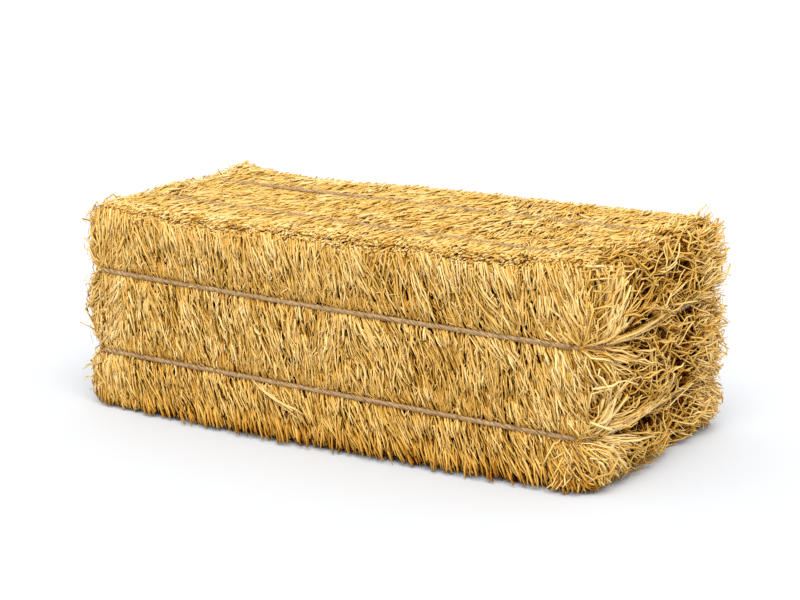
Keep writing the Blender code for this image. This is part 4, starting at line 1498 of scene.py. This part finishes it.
def twine_mesh(name, route, across, place, out):
    """A closed loop of twine with its knot and hairs. across is the axis that the loop goes round."""
    route = np.array(route)
    closed = np.vstack([route, route[:1]])
    length = np.linalg.norm(np.diff(closed, axis=0), axis=1)
    rings = int(round(length.sum() / TWINE_STEP / (2 * CARD_REPEAT)) * 2 * CARD_REPEAT)
    marks = np.concatenate([[0], np.cumsum(length)])
    wanted = np.linspace(0, length.sum(), rings, endpoint=False)
    centre = np.stack([np.interp(wanted, marks, closed[:, axis]) for axis in range(3)], 1)
    rng = np.random.default_rng(len(name))
    parts = [laid_tube(centre, across, TWINE_RADIUS, True)] + knot(rng, centre, place, out)
    chosen = rng.integers(0, rings, HAIRS)
    ways = unit(rng.normal(0, 1, (HAIRS, 3)) + 0.8 * unit(centre[chosen] - centre[chosen - 1]))
    parts.append(hairs(rng, centre[chosen] + ways * TWINE_RADIUS * 0.8, ways, HAIR_LENGTHS))
    first = np.cumsum([0] + [len(part[0]) for part in parts])
    faces = [[start + index for index in face] for part, start in zip(parts, first) for face in part[1]]
    mesh = bpy.data.meshes.new(name)
    vertices = np.concatenate([part[0] for part in parts])
    vertices[:, 2] = np.maximum(vertices[:, 2], LOWEST)
    mesh.from_pydata(vertices.tolist(), [], faces)
    card = mesh.uv_layers.new(name="OFBake")
    places = np.concatenate([part[2] for part in parts]).clip(0, 1)
    card.uv.foreach_set("vector", places.astype(np.float32).ravel())
    mesh.shade_smooth()
    mesh.validate()
    return mesh


print("each loop gets", HAIRS, "hairs and", 2 * FRAYED, "more at its cut ends")

# %% [markdown]
# ## Twine, as a material
#
# Sisal is a hard leaf fibre, combed and spun but neither dyed nor polished: a dull brown
# yarn with paler and darker fibres in it. Their pattern is noise stretched along the twine
# on its own swatch card. The surface is so rough that it hardly gleams.

# %% Twine material
YARN_WIDE, YARN_LONG = 0.002827, 0.012      # what one light or dark streak takes of the twine
HALF_GIRTH = math.pi * TWINE_RADIUS         # the card holds half the twine's girth
SISAL_TONES = ((0.36, "6d4b2b"), (0.64, "c7a676"))
DRY_FIBRE_ROUGH = 0.85


def twine_material():
    """Undyed sisal: matt brown, streaked along the twine."""
    made, tree, shader = new_material("sisal_twine")
    card = add(tree, "UVMap", {"uv_map": "OFBake"}).outputs["UV"]
    streaks = (HALF_GIRTH / YARN_WIDE, CARD_REPEAT * TWINE_STEP / YARN_LONG, 1.0)
    stretched = add(tree, "Mapping", {"Scale": streaks}, Vector=card)
    fibre = add(tree, "TexNoise", {"Scale": 1.0, "Detail": 4.0, "Roughness": 0.65},
                Vector=stretched.outputs["Vector"])
    ramp = add(tree, "ValToRGB", Fac=fibre.outputs["Fac"])
    for stop, (place, colour) in zip(ramp.color_ramp.elements, SISAL_TONES):
        stop.position, stop.color = place, linear(colour)
    tree.links.new(ramp.outputs["Color"], shader.inputs["Base Color"])
    shader.inputs["Roughness"].default_value = DRY_FIBRE_ROUGH
    shader.inputs["IOR"].default_value = PLANT_IOR
    return made


TWINE = twine_material()
print(TWINE.name, "has streaks of", round(1000 * YARN_WIDE, 1), "x", round(1000 * YARN_LONG), "mm")

# %% [markdown]
# ## Tie the bale
#
# A baler's knots end up wherever its knotters are. Here the level loops are tied at the
# back and the upright ones at the left end, out of the way of hands that lift the bale.

# %% Build each loop
KNOTS = {               # a place beside the knot, and the way out of the bale there
    "twine_level_upper": ((0.12, 0.25, 0.24), (0, 1, 0)),
    "twine_level_lower": ((-0.06, 0.25, 0.10), (0, 1, 0)),
    "twine_upright_front": ((-0.50, -0.08, 0.173), (-1, 0, 0)),
    "twine_upright_rear": ((-0.50, 0.09, 0.173), (-1, 0, 0)),
}
for name, route in ROUTES.items():
    across = (0, 0, 1) if "level" in name else (0, -1, 0)
    place, out = KNOTS[name]
    piece = bpy.data.objects.new(name + "_laid", twine_mesh(name + "_laid", route, across, place, out))
    bpy.context.scene.collection.objects.link(piece)
    piece.data.materials.append(TWINE)
    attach(piece, BODY)
    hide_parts(name)
    print(name, sum(len(face.vertices) - 2 for face in piece.data.polygons), "triangles")

# %% [markdown]
# ## Floor and light
#
# A white paper sweep under a bright, even sky, with one soft sun high behind the camera: the
# top is lightest, the front a little less, and the right end falls off. A wide sun gives
# soft shadows, as thin cloud does, and still keeps the slits between the straws dark.

# %% Floor
FAR = 60
PAPER_WHITE = "cbced2"

floor = bpy.data.objects.new("floor", bpy.data.meshes.new("floor"))
floor.data.from_pydata([(-FAR, -FAR, 0), (FAR, -FAR, 0), (FAR, FAR, 0), (-FAR, FAR, 0)], [], [(0, 1, 2, 3)])
bpy.context.scene.collection.objects.link(floor)
paper, _, paper_shader = new_material("white_paper_sweep")
paper_shader.inputs["Base Color"].default_value = linear(PAPER_WHITE)
paper_shader.inputs["Roughness"].default_value = 0.9
floor.data.materials.append(paper)
print("floor", 2 * FAR, "m wide")

# %% Light
SUN_POWER, SUN_WIDTH = 2.8, math.radians(50)
SUNBEAM = Vector((-0.32, 0.58, -1.0))       # the way the light travels

world = bpy.data.worlds.new("bright_sky")
bpy.context.scene.world = world
world.use_nodes = True
world.node_tree.nodes["Background"].inputs["Color"].default_value = linear("ffffff")
world.node_tree.nodes["Background"].inputs["Strength"].default_value = 1.0

sun = bpy.data.objects.new("soft_sun", bpy.data.lights.new("soft_sun", "SUN"))
sun.data.energy, sun.data.angle = SUN_POWER, SUN_WIDTH
sun.rotation_mode = "QUATERNION"
sun.rotation_quaternion = SUNBEAM.to_track_quat("-Z", "Y")
bpy.context.scene.collection.objects.link(sun)
bpy.context.scene.view_settings.view_transform = "Standard"
print("sun", SUN_POWER, "strong and", round(math.degrees(SUN_WIDTH)), "degrees wide")
